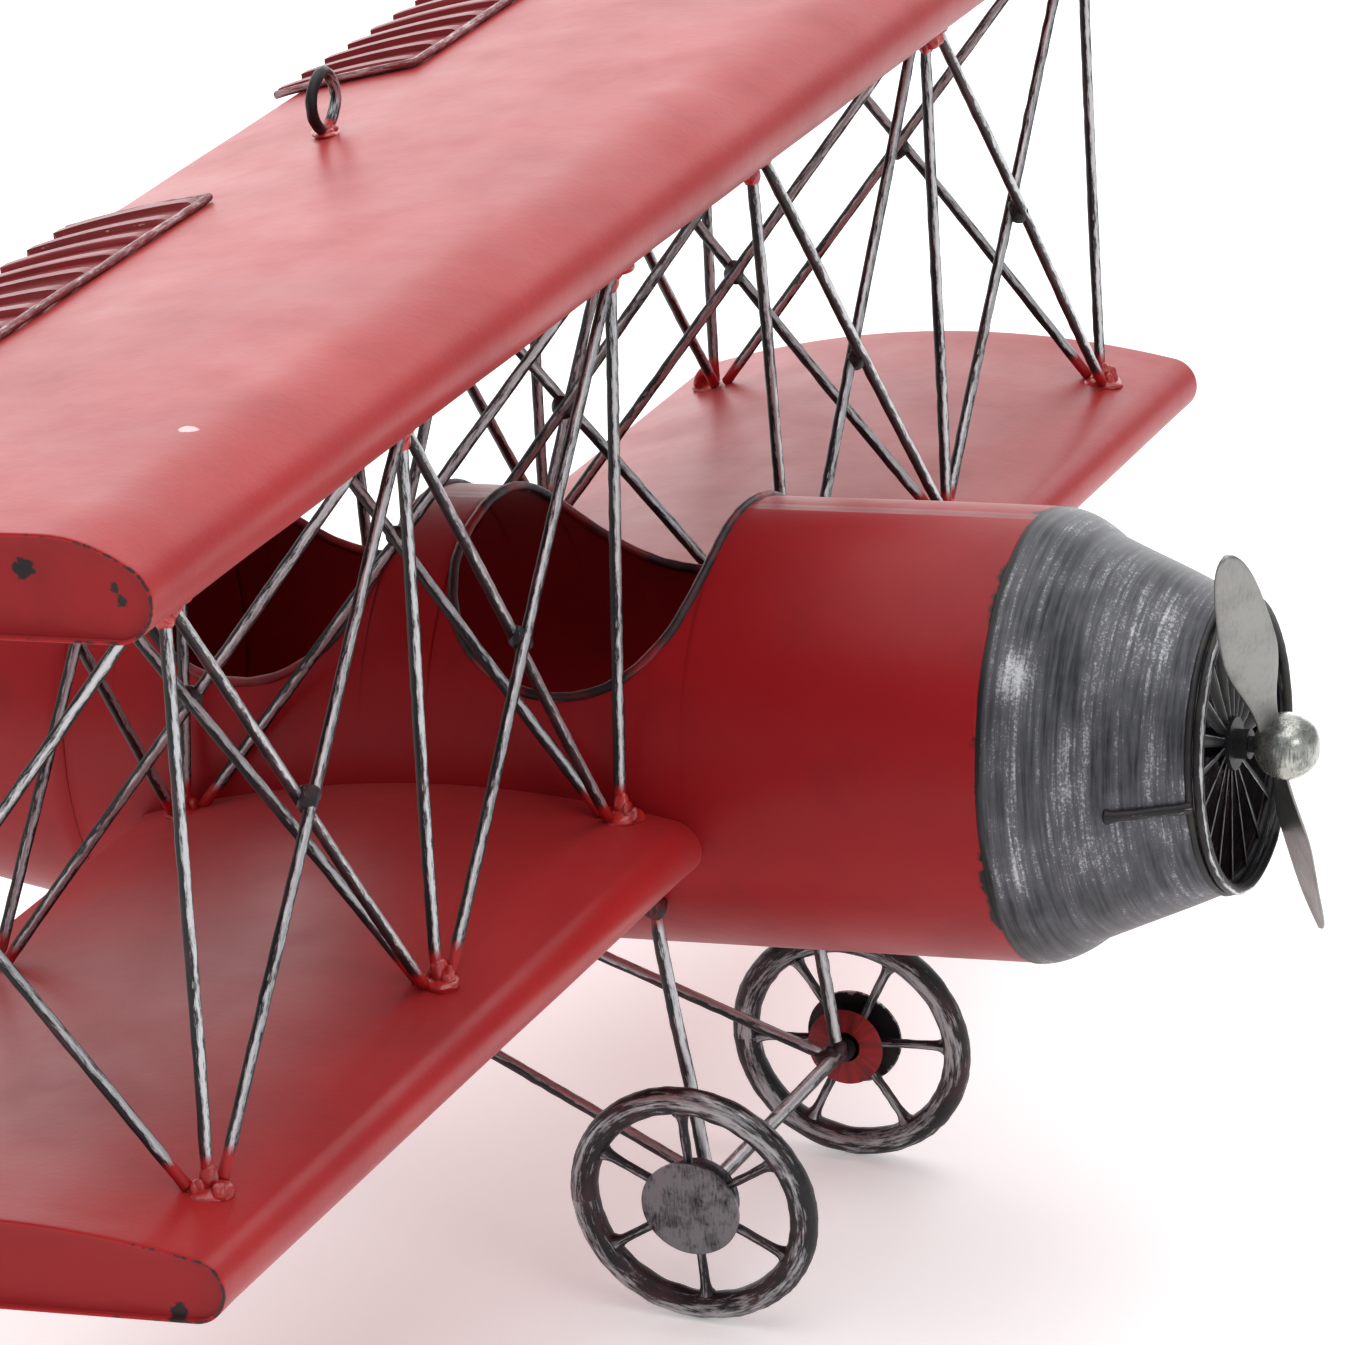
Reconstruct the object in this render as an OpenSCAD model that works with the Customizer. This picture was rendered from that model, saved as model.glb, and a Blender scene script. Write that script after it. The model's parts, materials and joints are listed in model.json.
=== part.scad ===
// Hand-made metal biplane model. Millimetres.
// Airframe axes: X across the span, Y aft from the front of the fuselage tube, Z up from its centre line.
// Every module draws in airframe axes, and stance() then stands the model on its wheels and tail skid.

/* [Fuselage] */
// Outside diameter of the fuselage tube
fuselage_d = 110; // [90:1:135]
// Length of the straight tube, from the cowling joint to the tail cone
fuselage_len = 236; // [196:1:300]
// Length of the tail cone
tail_cone_len = 194; // [160:1:240]
// Diameter of the small end of the tail cone
tail_end_d = 24; // [20:1:34]
// Thickness of the sheet that the fuselage, cowling and tail cone are rolled from
body_sheet = 1; // [0.8:0.1:1.4]
// Distance of the rear cockpit's centre ahead of the tail cone
rear_cockpit_ahead = 46; // [38:1:60]
// Distance between the centres of the two cockpits
cockpit_spacing = 83; // [80:1:100]
// Radius of the saddle cut that opens each cockpit
cockpit_cut_r = 33; // [24:1:40]
// Width of the folded edge round each cockpit
rim_w = 2.2; // [1.6:0.1:3]

/* [Cowling] */
// Length of the cowling from the joint to its open front
cowling_len = 46.8; // [38:0.2:60]
// Diameter of the cowling's open front
cowling_front_d = 70.4; // [60:0.2:84]
// Length over which the cowling's shoulder is rounded
shoulder_len = 14; // [8:1:20]
// Number of wires in the front grille
grille_count = 18; // [12:1:20]
// Diameter of the grille wires
grille_wire_d = 1.6; // [1.2:0.1:1.8]

/* [Propeller] */
// Diameter swept by the blade tips
propeller_d = 124; // [103:1:149]
// Greatest width of a blade
blade_w = 14.7; // [12:0.1:15]
// Thickness of a blade at its middle
blade_t = 1.4; // [1:0.1:2]
// Angle of the blades at rest, from upright towards the right wing
blade_rest_deg = 25.5; // [0:0.1:45]
// Diameter of the ball at the centre of the propeller
hub_ball_d = 16.5; // [14:0.5:20]
// Diameter of the propeller shaft
shaft_d = 4; // [3:0.1:5]
// Gap all round the shaft in its bush
shaft_clearance = 0.06; // [0.03:0.01:0.1]

/* [Wings] */
// Distance from the centre line to either wing tip
half_span = 335; // [270:1:405]
// Thickness of the wing skins
wing_sheet = 0.8; // [0.6:0.1:1.2]
// Leading edge of the upper wing behind the cowling joint
upper_le_y = 72; // [60:1:76]
// Chord of the upper wing
upper_chord = 145; // [120:1:180]
// Flat underside of the upper wing above the centre line
upper_z = 128.5; // [105:0.5:160]
// Leading edge of the lower wing behind the cowling joint
lower_le_y = 71; // [60:1:76]
// Chord of the lower wing
lower_chord = 148; // [125:1:182]
// Flat underside of the lower wing below the centre line
lower_drop = 21.7; // [18:0.1:25]
// Depth that each end cap sits inside the wing tip
cap_recess = 1.5; // [0.5:0.1:3]

/* [Ailerons and ring] */
// Distance that the corrugated panels reach in from the trailing edge
panel_depth = 34; // [26:1:44]
// Distance from the centre line to the inner end of the right panel
right_panel_x = 58; // [40:0.5:80]
// Distance from the centre line to the inner end of the left panel
left_panel_x = 69.5; // [40:0.5:80]
// Distance that the panels reach behind the trailing edge
panel_overhang = 4; // [2:0.5:8]
// Spacing of the ridges on the panels
ridge_pitch = 15; // [10:0.5:20]
// Width of one ridge
ridge_w = 5; // [3:0.5:6]
// Distance of the hanging ring ahead of the panels' front edge
ring_ahead = 7; // [6:0.5:60]
// Outside diameter of the hanging ring
ring_d = 17; // [15:0.5:24]

/* [Struts] */
// Diameter of the strut and leg wire
wire_d = 3; // [2.4:0.1:3.4]
// Gap from the side of the fuselage to the feet of the inner struts
inner_foot_gap = 5.5; // [5:0.5:12]
// Distance that the tops of the inner struts lie inside the fuselage's side
inner_head_in = 8; // [0:0.5:15]
// Distance of the middle struts from the centre line
middle_x = 175; // [145:1:210]
// Distance of the outer struts from the wing tips
outer_inset = 32; // [23:1:70]
// Distance of the front struts' feet behind the lower wing's leading edge
front_foot_in = 17; // [16:1:28]
// Distance of the rear struts' feet ahead of the lower wing's trailing edge
rear_foot_in = 17; // [13:1:28]
// Distance of the front struts' tops behind the upper wing's leading edge
front_head_in = 13; // [13:1:28]
// Distance of the rear struts' tops ahead of the upper wing's trailing edge
rear_head_in = 19; // [13:1:28]

/* [Landing gear] */
// Place of the axle behind the cowling joint
axle_y = 79; // [70:1:95]
// Depth of the axle below the fuselage centre line
axle_drop = 104.5; // [95:0.5:125]
// Distance between the planes of the two wheels
wheel_track = 112; // [104:1:135]
// Outside diameter of a wheel
wheel_d = 63.4; // [52:0.2:77]
// Thickness of the wheel's round rim
tyre_d = 7; // [5:0.2:9]
// Number of spokes
spoke_count = 6; // [5:1:8]
// Diameter of a spoke
spoke_d = 2.6; // [2:0.1:3]
// Diameter of the sheet disc over each hub
hub_disc_d = 25; // [18:0.5:30]
// Gap all round the axle in a wheel hub
hub_clearance = 0.08; // [0.04:0.01:0.1]
// Distance of the rear legs' tops ahead of the tail cone
rear_leg_ahead = 38; // [20:1:60]

/* [Tail] */
// Distance of the fin's and tailplane's rear edge behind the tail cone's round end
hinge_gap = 4; // [1:0.5:12]
// Chord of the rudder and elevators behind that line
rudder_chord = 38; // [30:1:50]
// Top of the fin above the centre line
fin_top = 92; // [75:1:115]
// Half the span of the tailplane
tailplane_half = 108; // [80:1:140]
// Chord of the tailplane at its root
tailplane_chord = 56; // [44:1:64]
// Thickness of the tail sheets
tail_sheet = 2.4; // [1.6:0.1:3]
// Nose-up angle of the model when it stands on its wheels and tail skid
stance_deg = 4.9; // [2:0.1:7]

/* [Hidden] */
$fn = 64;

red = "#a02a2c";
dark_red = "#7a1d20";
gunmetal = "#45464a";
pewter = "#a6a6a8";

right = -1;
left = 1;
front = 0;
rear = 1;
inner = 0;
middle = 1;
outer = 2;

// Numbers that the sub-parts share
body_r = fuselage_d / 2;
cockpit_z = body_r - 1;
rear_cockpit_y = fuselage_len - rear_cockpit_ahead;
front_cockpit_y = rear_cockpit_y - cockpit_spacing;
tail_cap_len = 6;
hinge_line_y = fuselage_len + tail_cone_len + tail_cap_len + hinge_gap;
panel_front_y = upper_le_y + upper_chord - panel_depth;
ring_y = panel_front_y - ring_ahead;
steps = 16;      // points along each curved outline
touch = 0.05;    // gap between pieces that rest on each other
cut = 1;         // how far a cutter reaches past what it cuts
bite = 0.3;      // how far a wire's end reaches into what it is welded to

// Wing section: [chord, nose radius, nose turn, peak place, peak height, tail radius, tail turn]
upper_section = [upper_chord, 9.2, 118, 24, 23.5, 4, 74];
lower_section = [lower_chord, 7.5, 103, 64, 21, 4.5, 74];

// Height of a wing's curved top above its flat underside, at x behind the leading edge:
// a parabola up to the peak and another down to the tail
function lead_x(s) = s[1] * (1 + cos(s[2]));
function lead_h(s) = s[1] * (1 + sin(s[2]));
function trail_x(s) = s[0] - s[5] * (1 - cos(s[6]));
function trail_h(s) = s[5] * (1 + sin(s[6]));
function arch(s, x) = x < s[3]
    ? s[4] - (s[4] - lead_h(s)) * pow((s[3] - x) / (s[3] - lead_x(s)), 2)
    : s[4] - (s[4] - trail_h(s)) * pow((x - s[3]) / (trail_x(s) - s[3]), 2);
function upper_top(y) = upper_z + arch(upper_section, y - upper_le_y);
function lower_top(y) = -lower_drop + arch(lower_section, y - lower_le_y);

// Closed outline of a wing section, drawn inset from the outer surface
function section_outline(s, inset) = concat(
    [for (i = [0 : steps]) let (a = 270 - i * (270 - s[2]) / steps)
        [s[1] + (s[1] - inset) * cos(a), s[1] + (s[1] - inset) * sin(a)]],
    [for (i = [1 : steps - 1]) let (x = lead_x(s) + i * (trail_x(s) - lead_x(s)) / steps)
        [x, arch(s, x) - inset]],
    [for (i = [0 : steps]) let (a = s[6] - i * (s[6] + 90) / steps)
        [s[0] - s[5] + (s[5] - inset) * cos(a), s[5] + (s[5] - inset) * sin(a)]]);

// Radius of the tail cone at y: it narrows slowly at first
function tail_r(y) = body_r - (body_r - tail_end_d / 2) * pow((y - fuselage_len) / tail_cone_len, 1.2);
// Radius of the straight part of the cowling at a distance ahead of the joint
function cone_r(ahead) = body_r - (body_r - cowling_front_d / 2) * ahead / cowling_len;
// Outer outline of the cowling: its shoulder is a parabola from the tube's side to the cone
function cowling_outer(inset) = concat(
    [for (i = [0 : steps / 2]) let (t = 2 * i / steps)
        [(1 - t) * (1 - t) * body_r + 2 * t * (1 - t) * body_r + t * t * cone_r(shoulder_len) - inset,
         -t * shoulder_len]],
    [[cowling_front_d / 2 - inset, -cowling_len]]);

// Stance: where airframe points go once the model stands
function stood_y(y, z) = y * cos(stance_deg) + z * sin(stance_deg);
function stood_z(y, z) = z * cos(stance_deg) - y * sin(stance_deg);
rudder_round = 22;
ball_gap = 0.95;   // from the front of the cowling's hoop to the back of the ball
rudder_top = fin_top + 4;
rudder_end_y = hinge_line_y + rudder_chord;
hub_ball_y = -(cowling_len + wire_d + ball_gap + hub_ball_d / 2);
nose_end = stood_y(hub_ball_y, 0) - hub_ball_d / 2;
tail_end = stood_y(rudder_end_y - rudder_round, rudder_top - rudder_round) + rudder_round;
shift_y = -(nose_end + tail_end) / 2;
lift = wheel_d / 2 - stood_z(axle_y, -axle_drop);
function stood(p) = [p[0], stood_y(p[1], p[2]) + shift_y, stood_z(p[1], p[2]) + lift];

module stance() {
    translate([0, shift_y, lift]) rotate([-stance_deg, 0, 0]) children();
}
// Turns a shape drawn round Z into one round Y, with its Z becoming Y
module about_y() {
    rotate([-90, 0, 0]) children();
}
// Extrudes an outline drawn in Y and Z along X
module along_x(from, to) {
    translate([from, 0, 0]) rotate([90, 0, 90]) linear_extrude(to - from) children();
}
module wire(a, b, d) {
    v = b - a;
    len = norm(v);
    translate(a) rotate([0, acos(v[2] / len), atan2(v[1], v[0])]) cylinder(h = len, d = d, $fn = 32);
}
module ring_shape(radius, d) {
    rotate_extrude($fn = 96) translate([radius, 0]) circle(d = d, $fn = 32);
}

/* Fuselage */
module body_solid() {
    about_y() cylinder(h = fuselage_len, r = body_r);
}
module cockpit_cut(y, r) {
    translate([-body_r - 5, y, cockpit_z]) rotate([0, 90, 0]) cylinder(h = fuselage_d + 10, r = r);
}
module fuselage_shell() {
    stance() color(red) difference() {
        body_solid();
        translate([0, -1, 0]) about_y() cylinder(h = fuselage_len + 2, r = body_r - body_sheet);
        cockpit_cut(front_cockpit_y, cockpit_cut_r);
        cockpit_cut(rear_cockpit_y, cockpit_cut_r);
    }
}
// Folded edge: a saddle strip just inside the cut, a little thicker than the sheet
module cockpit_rim(y) {
    stance() color(gunmetal) difference() {
        intersection() {
            about_y() difference() {
                cylinder(h = fuselage_len, r = body_r + rim_w / 2);
                translate([0, 0, -1]) cylinder(h = fuselage_len + 2, r = body_r - body_sheet - rim_w / 2);
            }
            cockpit_cut(y, cockpit_cut_r);
        }
        cockpit_cut(y, cockpit_cut_r - rim_w);
        translate([-fuselage_d, 0, -fuselage_d * 2]) cube([fuselage_d * 2, fuselage_len, fuselage_d * 2]);
    }
}
module front_cockpit_rim() {
    cockpit_rim(front_cockpit_y);
}
module rear_cockpit_rim() {
    cockpit_rim(rear_cockpit_y);
}
function tail_outline(inset) = [for (i = [0 : 10]) let (y = fuselage_len + i * tail_cone_len / 10)
    [tail_r(y) - inset, y]];
function reversed(points) = [for (i = [len(points) - 1 : -1 : 0]) points[i]];
module tail_cone() {
    stance() color(red) about_y() rotate_extrude()
        polygon(concat(tail_outline(0), reversed(tail_outline(body_sheet))));
}
function cap_outline() = [for (i = [0 : 8]) let (a = i * 90 / 8)
    [tail_end_d / 2 * cos(a), fuselage_len + tail_cone_len + tail_cap_len * sin(a)]];
module tail_cap() {
    stance() color(red) about_y() rotate_extrude()
        polygon(concat([[0, fuselage_len + tail_cone_len]], cap_outline()));
}
module tail_solid() {
    about_y() rotate_extrude() polygon(concat([[0, fuselage_len]], tail_outline(0), cap_outline()));
}

/* Cowling and grille */
hoop_y = -(cowling_len + wire_d / 2);
hoop_r = (cowling_front_d - body_sheet) / 2;
grille_hoop_d = 2.4;
grille_slope = atan((body_r - cowling_front_d / 2) / cowling_len);
grille_ahead = cowling_len - 1.6;
grille_hoop_r = cone_r(grille_ahead) - (body_sheet + grille_hoop_d / 2 + touch) / cos(grille_slope);
bush_r = 6.4;
bush_back = cowling_len - 12;
bush_front = -hub_ball_y - hub_ball_d / 2 - 0.6;
module cowling() {
    wall = body_sheet / cos(grille_slope);
    stance() color(gunmetal) about_y() rotate_extrude()
        polygon(concat(cowling_outer(0), reversed(cowling_outer(wall))));
}
module cowling_hoop() {
    stance() color(gunmetal) translate([0, hoop_y, 0]) about_y() ring_shape(hoop_r, wire_d);
}
// Short hook of wire lying along the cone on the right, just below the centre line
hook_d = 2.4;
hook_from = cowling_len * 0.62;
hook_to = cowling_len * 0.96;
hook_deg = 6;
module cowling_hook() {
    out = hook_d / 2 / cos(grille_slope) + touch;
    a = [-(cone_r(hook_from) + out), -hook_from, 0];
    b = [-(cone_r(hook_to) + out), -hook_to, 0];
    stance() color(gunmetal) rotate([0, -hook_deg, 0]) {
        wire(a, b, hook_d);
        translate(a) sphere(d = hook_d, $fn = 32);
        translate(b) sphere(d = hook_d, $fn = 32);
    }
}
module grille_hoop() {
    stance() color(gunmetal) translate([0, -grille_ahead, 0]) about_y()
        ring_shape(grille_hoop_r, grille_hoop_d);
}
module grille_wires() {
    stance() color(gunmetal) for (i = [0 : grille_count - 1]) {
        rotate([0, i * 360 / grille_count, 0])
            wire([bush_r - bite, -grille_ahead, 0],
                 [grille_hoop_r - grille_hoop_d / 2 + bite, -grille_ahead, 0], grille_wire_d);
    }
}
// Tube with a flange that the grille wires are welded to
module shaft_bush() {
    bore = shaft_d / 2 + shaft_clearance;
    stance() color(gunmetal) translate([0, -bush_front, 0]) about_y() difference() {
        union() {
            cylinder(h = bush_front - bush_back, r = shaft_d / 2 + 1.6);
            translate([0, 0, bush_front - grille_ahead - 1.5]) cylinder(h = 3, r = bush_r);
        }
        translate([0, 0, -1]) cylinder(h = bush_front - bush_back + 2, r = bore);
    }
}

/* Propeller */
collar_gap = 0.4;
collar_t = 3;
shaft_back = bush_back - collar_gap - collar_t - 1;
module propeller_shaft() {
    stance() color(pewter) translate([0, hub_ball_y, 0]) about_y()
        cylinder(h = -hub_ball_y - shaft_back, d = shaft_d);
}
module shaft_collar() {
    stance() color(gunmetal) translate([0, -bush_back + collar_gap, 0]) about_y() difference() {
        cylinder(h = collar_t, r = shaft_d / 2 + 2);
        translate([0, 0, -1]) cylinder(h = collar_t + 2, d = shaft_d);
    }
}
module propeller_hub() {
    stance() color(pewter) translate([0, hub_ball_y, 0]) difference() {
        sphere(d = hub_ball_d);
        about_y() cylinder(h = hub_ball_d, d = shaft_d);
    }
}
// One blade: lens-shaped sections set along the radius, widest at two fifths, turning as they go out
blade_stations = 20;
blade_points = 12;
blade_root_r = hub_ball_d / 2 - 1.5;
blade_y = hub_ball_y + 3.2;
blade_wide_at = 0.45;
blade_root_share = 0.4;
blade_root_pitch = -50;
blade_tip_pitch = -40;
// Share of the greatest width at t along the blade
function blade_share(t) = t < blade_wide_at
    ? blade_root_share + (1 - blade_root_share) * pow(sin(90 * t / blade_wide_at), 2)
    : sqrt(max(0.004, 1 - pow((t - blade_wide_at) / (1 - blade_wide_at), 2.2)));
function blade_half(t) = blade_w / 2 * blade_share(t);
function blade_pitch(t) = blade_root_pitch + (blade_tip_pitch - blade_root_pitch) * t;
function blade_ring(t) = let (r = blade_root_r + t * (propeller_d / 2 - blade_root_r), a = blade_pitch(t))
    [for (j = [0 : blade_points - 1]) let (
        w = blade_half(t) * cos(j * 360 / blade_points),
        h = blade_t / 2 * sin(j * 360 / blade_points))
        [w * cos(a) - h * sin(a), w * sin(a) + h * cos(a), r]];
module blade(turn) {
    n = blade_points;
    m = blade_stations;
    points = [for (i = [0 : m]) each blade_ring(i / m)];
    sides = [for (i = [0 : m - 1], j = [0 : n - 1])
        [i * n + j, (i + 1) * n + j, (i + 1) * n + (j + 1) % n, i * n + (j + 1) % n]];
    ends = [[for (j = [0 : n - 1]) j], [for (j = [n - 1 : -1 : 0]) m * n + j]];
    stance() color(pewter) translate([0, blade_y, 0]) rotate([0, turn, 0])
        difference() {
            polyhedron(points, concat(sides, ends));
            translate([0, hub_ball_y - blade_y, 0]) about_y() cylinder(h = hub_ball_d, d = shaft_d + 1);
        }
}
module upper_blade() {
    blade(-blade_rest_deg);
}
module lower_blade() {
    blade(180 - blade_rest_deg);
}

/* Wings */
module wing_block(s, le_y, z, from, to, inset) {
    translate([0, le_y, z]) along_x(from, to) polygon(section_outline(s, inset));
}
module upper_wing_skin() {
    stance() color(red) difference() {
        wing_block(upper_section, upper_le_y, upper_z, -half_span, half_span, 0);
        wing_block(upper_section, upper_le_y, upper_z, -half_span - 1, half_span + 1, wing_sheet);
    }
}
module caps(s, le_y, z) {
    for (side = [right, left]) {
        mirror([side == right ? 1 : 0, 0, 0])
            wing_block(s, le_y, z, half_span - cap_recess - wing_sheet, half_span - cap_recess, wing_sheet);
    }
}
module upper_wing_caps() {
    stance() color(red) caps(upper_section, upper_le_y, upper_z);
}
module lower_wing(side) {
    stance() color(red) mirror([side == right ? 1 : 0, 0, 0]) difference() {
        wing_block(lower_section, lower_le_y, -lower_drop, body_r * 0.6, half_span, 0);
        wing_block(lower_section, lower_le_y, -lower_drop, 0, half_span + cut, wing_sheet);
        body_solid();
        tail_solid();
    }
}
module right_lower_wing() {
    lower_wing(right);
}
module left_lower_wing() {
    lower_wing(left);
}
module lower_wing_caps() {
    stance() color(red) caps(lower_section, lower_le_y, -lower_drop);
}

/* Ailerons, their borders and the hanging ring */
panel_end_y = upper_le_y + upper_chord + panel_overhang;
panel_sheet = 1;
ridge_h = 1.6;
border_w = 2.2;
panel_tip_x = half_span - 3;
function panel_x(side) = side == right ? right_panel_x : left_panel_x;
// Strip that follows the top of the wing from one place to another, between two heights above it
function strip(y0, y1, low, high) = concat(
    [for (i = [0 : steps]) let (y = y0 + i * (y1 - y0) / steps) [y, upper_top(y) + low]],
    [for (i = [steps : -1 : 0]) let (y = y0 + i * (y1 - y0) / steps) [y, upper_top(y) + high]]);
module aileron(side) {
    ridge_n = floor((panel_tip_x - panel_x(side) - ridge_w) / ridge_pitch);
    stance() color(dark_red) mirror([side == right ? 1 : 0, 0, 0]) {
        along_x(panel_x(side), panel_tip_x)
            polygon(strip(panel_front_y, panel_end_y, touch, touch + panel_sheet));
        for (i = [0 : ridge_n]) {
            ridge_x = panel_x(side) + 1 + i * ridge_pitch;
            along_x(ridge_x, ridge_x + ridge_w)
                polygon(strip(panel_front_y, panel_end_y, touch, touch + panel_sheet + ridge_h));
        }
    }
}
module right_aileron() {
    aileron(right);
}
module left_aileron() {
    aileron(left);
}
module aileron_borders() {
    stance() color(gunmetal) for (side = [right, left]) {
        mirror([side == right ? 1 : 0, 0, 0]) {
            along_x(panel_x(side) - border_w, panel_tip_x)
                polygon(strip(panel_front_y - border_w, panel_front_y, touch, touch + border_w));
            along_x(panel_x(side) - border_w, panel_x(side))
                polygon(strip(panel_front_y - border_w, panel_end_y, touch, touch + border_w));
        }
    }
}
ring_z = upper_top(ring_y) + ring_d / 2 + 0.1;
module hanging_ring() {
    stance() color(gunmetal) translate([0, ring_y, ring_z]) about_y()
        ring_shape((ring_d - wire_d) / 2, wire_d);
}
module ring_weld() {
    stance() color(red) difference() {
        translate([0, ring_y, upper_top(ring_y) - 2]) sphere(r = 4.6, $fn = 48);
        wing_block(upper_section, upper_le_y, upper_z, -10, 10, 0);
    }
}

/* Struts and bracing wires */
weld_lift = 1.4;
weld_step = wire_d * 1.4;
cross_gap = wire_d / 2 + 0.15;
station_foot = [body_r + inner_foot_gap, middle_x, half_span - outer_inset];
station_head = [body_r - inner_head_in, middle_x, half_span - outer_inset];
row_foot = [lower_le_y + front_foot_in, lower_le_y + lower_chord - rear_foot_in];
row_head = [upper_le_y + front_head_in, upper_le_y + upper_chord - rear_head_in];
function foot(side, i, row, dx, dy) =
    [side * (station_foot[i] + dx), row_foot[row] + dy, lower_top(row_foot[row]) + weld_lift];
function head(side, i, row, dx, dy) =
    [side * (station_head[i] + dx), row_head[row] + dy, upper_z - weld_lift];
module struts(side) {
    stance() color(gunmetal) for (i = [inner : outer], row = [front, rear]) {
        wire(foot(side, i, row, 0, 0), head(side, i, row, 0, 0), wire_d);
    }
}
// Two wires that cross between the front and the rear strut of one station
module chord_cross(side, i) {
    stance() color(gunmetal) {
        wire(foot(side, i, front, cross_gap, weld_step),
             head(side, i, rear, cross_gap, -weld_step), wire_d);
        wire(foot(side, i, rear, -cross_gap, -weld_step),
             head(side, i, front, -cross_gap, weld_step), wire_d);
    }
}
// Crossed wires from one station to the next, in the front and in the rear plane
module span_bracing(side, i) {
    stance() color(gunmetal) for (row = [front, rear]) {
        wire(foot(side, i, row, weld_step, cross_gap),
             head(side, i + 1, row, -weld_step, cross_gap), wire_d);
        wire(foot(side, i + 1, row, -weld_step, -cross_gap),
             head(side, i, row, weld_step, -cross_gap), wire_d);
    }
}
module right_struts() {
    struts(right);
}
module left_struts() {
    struts(left);
}
module right_outer_cross() {
    chord_cross(right, outer);
}
module right_middle_cross() {
    chord_cross(right, middle);
}
module right_inner_cross() {
    chord_cross(right, inner);
}
module left_inner_cross() {
    chord_cross(left, inner);
}
module left_middle_cross() {
    chord_cross(left, middle);
}
module left_outer_cross() {
    chord_cross(left, outer);
}
module right_outer_bracing() {
    span_bracing(right, middle);
}
module right_inner_bracing() {
    span_bracing(right, inner);
}
module left_inner_bracing() {
    span_bracing(left, inner);
}
module left_outer_bracing() {
    span_bracing(left, middle);
}
// Welds are low domes on the wing, with the wire ends buried in them
weld_r = wire_d * 2;
weld_sink = wire_d * 1.05;
module lower_welds() {
    stance() color(red) for (side = [right, left]) {
        mirror([side == right ? 1 : 0, 0, 0]) difference() {
            for (i = [inner : outer], row = [front, rear]) {
                translate(foot(left, i, row, 0, 0) - [0, 0, weld_lift + weld_sink])
                    sphere(r = weld_r, $fn = 48);
            }
            wing_block(lower_section, lower_le_y, -lower_drop, 0, half_span + 1, 0);
            body_solid();
        }
    }
}
module upper_welds() {
    stance() color(red) for (side = [right, left]) {
        mirror([side == right ? 1 : 0, 0, 0]) difference() {
            for (i = [inner : outer], row = [front, rear]) {
                translate(head(left, i, row, 0, 0) + [0, 0, weld_lift + weld_sink])
                    sphere(r = weld_r, $fn = 48);
            }
            wing_block(upper_section, upper_le_y, upper_z, 0, half_span + 1, 0);
        }
    }
}

/* Landing gear */
// Wheel parts are drawn round the axle, measured outwards from the wheel's plane
hub_out = 2.6;
hub_in = 5;
head_t = 1.5;
head_r = wire_d / 2 + 0.9;
end_gap = 0.4;
collar_w = 2;
collar_r = wire_d / 2 + 1.6;
hub_r = head_r + 0.3 + 0.8;
wheel_x = wheel_track / 2;
leg_gap = wire_d / 2 + 0.1;
front_leg_x = wheel_x - hub_in - end_gap - collar_w - wire_d;
rear_leg_x = front_leg_x - wire_d - 0.6;
leg_stop = 1.6;
leg_weld_r = wire_d * 1.1;
foot_weld_r = wire_d * 0.64;
front_leg_deg = 34;
rear_leg_deg = 60;
// Points beside the fuselage where the legs end, so many degrees round below its widest line
function body_point(deg, y, out) = [(body_r + out) * cos(deg), y, -(body_r + out) * sin(deg)];
front_leg_top = body_point(front_leg_deg, axle_y + 8, leg_stop);
rear_leg_top = body_point(rear_leg_deg, fuselage_len - rear_leg_ahead, leg_stop);
rear_leg_foot = [rear_leg_x, axle_y + leg_gap * 0.9, -axle_drop + leg_gap * 0.45];
module side_x(side) {
    mirror([side == right ? 1 : 0, 0, 0]) children();
}
module front_leg(side) {
    stance() color(gunmetal) side_x(side)
        wire([front_leg_x, axle_y, -axle_drop + leg_gap], front_leg_top, wire_d);
}
module rear_leg(side) {
    stance() color(gunmetal) side_x(side)
        wire(rear_leg_foot + [0, wire_d / 2, wire_d / 4], rear_leg_top, wire_d);
}
module right_front_leg() {
    front_leg(right);
}
module left_front_leg() {
    front_leg(left);
}
module right_rear_leg() {
    rear_leg(right);
}
module left_rear_leg() {
    rear_leg(left);
}
module gear_welds() {
    stance() color(gunmetal) for (side = [right, left]) {
        side_x(side) difference() {
            union() {
                translate(front_leg_top) sphere(r = leg_weld_r, $fn = 48);
                translate(rear_leg_top) sphere(r = leg_weld_r, $fn = 48);
                translate([front_leg_x, axle_y, -axle_drop + leg_gap * 0.7])
                    sphere(r = foot_weld_r, $fn = 48);
                translate(rear_leg_foot) sphere(r = foot_weld_r, $fn = 48);
            }
            body_solid();
            wing_block(lower_section, lower_le_y, -lower_drop, 0, half_span, 0);
        }
    }
}
module across(from, to, r) {
    translate([from, axle_y, -axle_drop]) rotate([0, 90, 0]) cylinder(h = to - from, r = r);
}
module axle() {
    stance() color(gunmetal) for (side = [right, left]) {
        side_x(side) {
            across(-0.01, wheel_x + hub_out - end_gap, wire_d / 2);
            across(wheel_x + hub_out - end_gap - head_t, wheel_x + hub_out - end_gap, head_r);
        }
    }
}
module axle_collars() {
    stance() color(gunmetal) for (side = [right, left]) {
        side_x(side) difference() {
            across(wheel_x - hub_in - end_gap - collar_w, wheel_x - hub_in - end_gap, collar_r);
            across(wheel_x - hub_in - 2 * collar_w, wheel_x, wire_d / 2);
        }
    }
}
module wheel_place(side) {
    stance() side_x(side) translate([wheel_x, axle_y, -axle_drop]) rotate([0, 90, 0]) children();
}
tyre_ring_r = (wheel_d - tyre_d) / 2;
module tyre(side) {
    color(gunmetal) wheel_place(side) ring_shape(tyre_ring_r, tyre_d);
}
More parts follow.
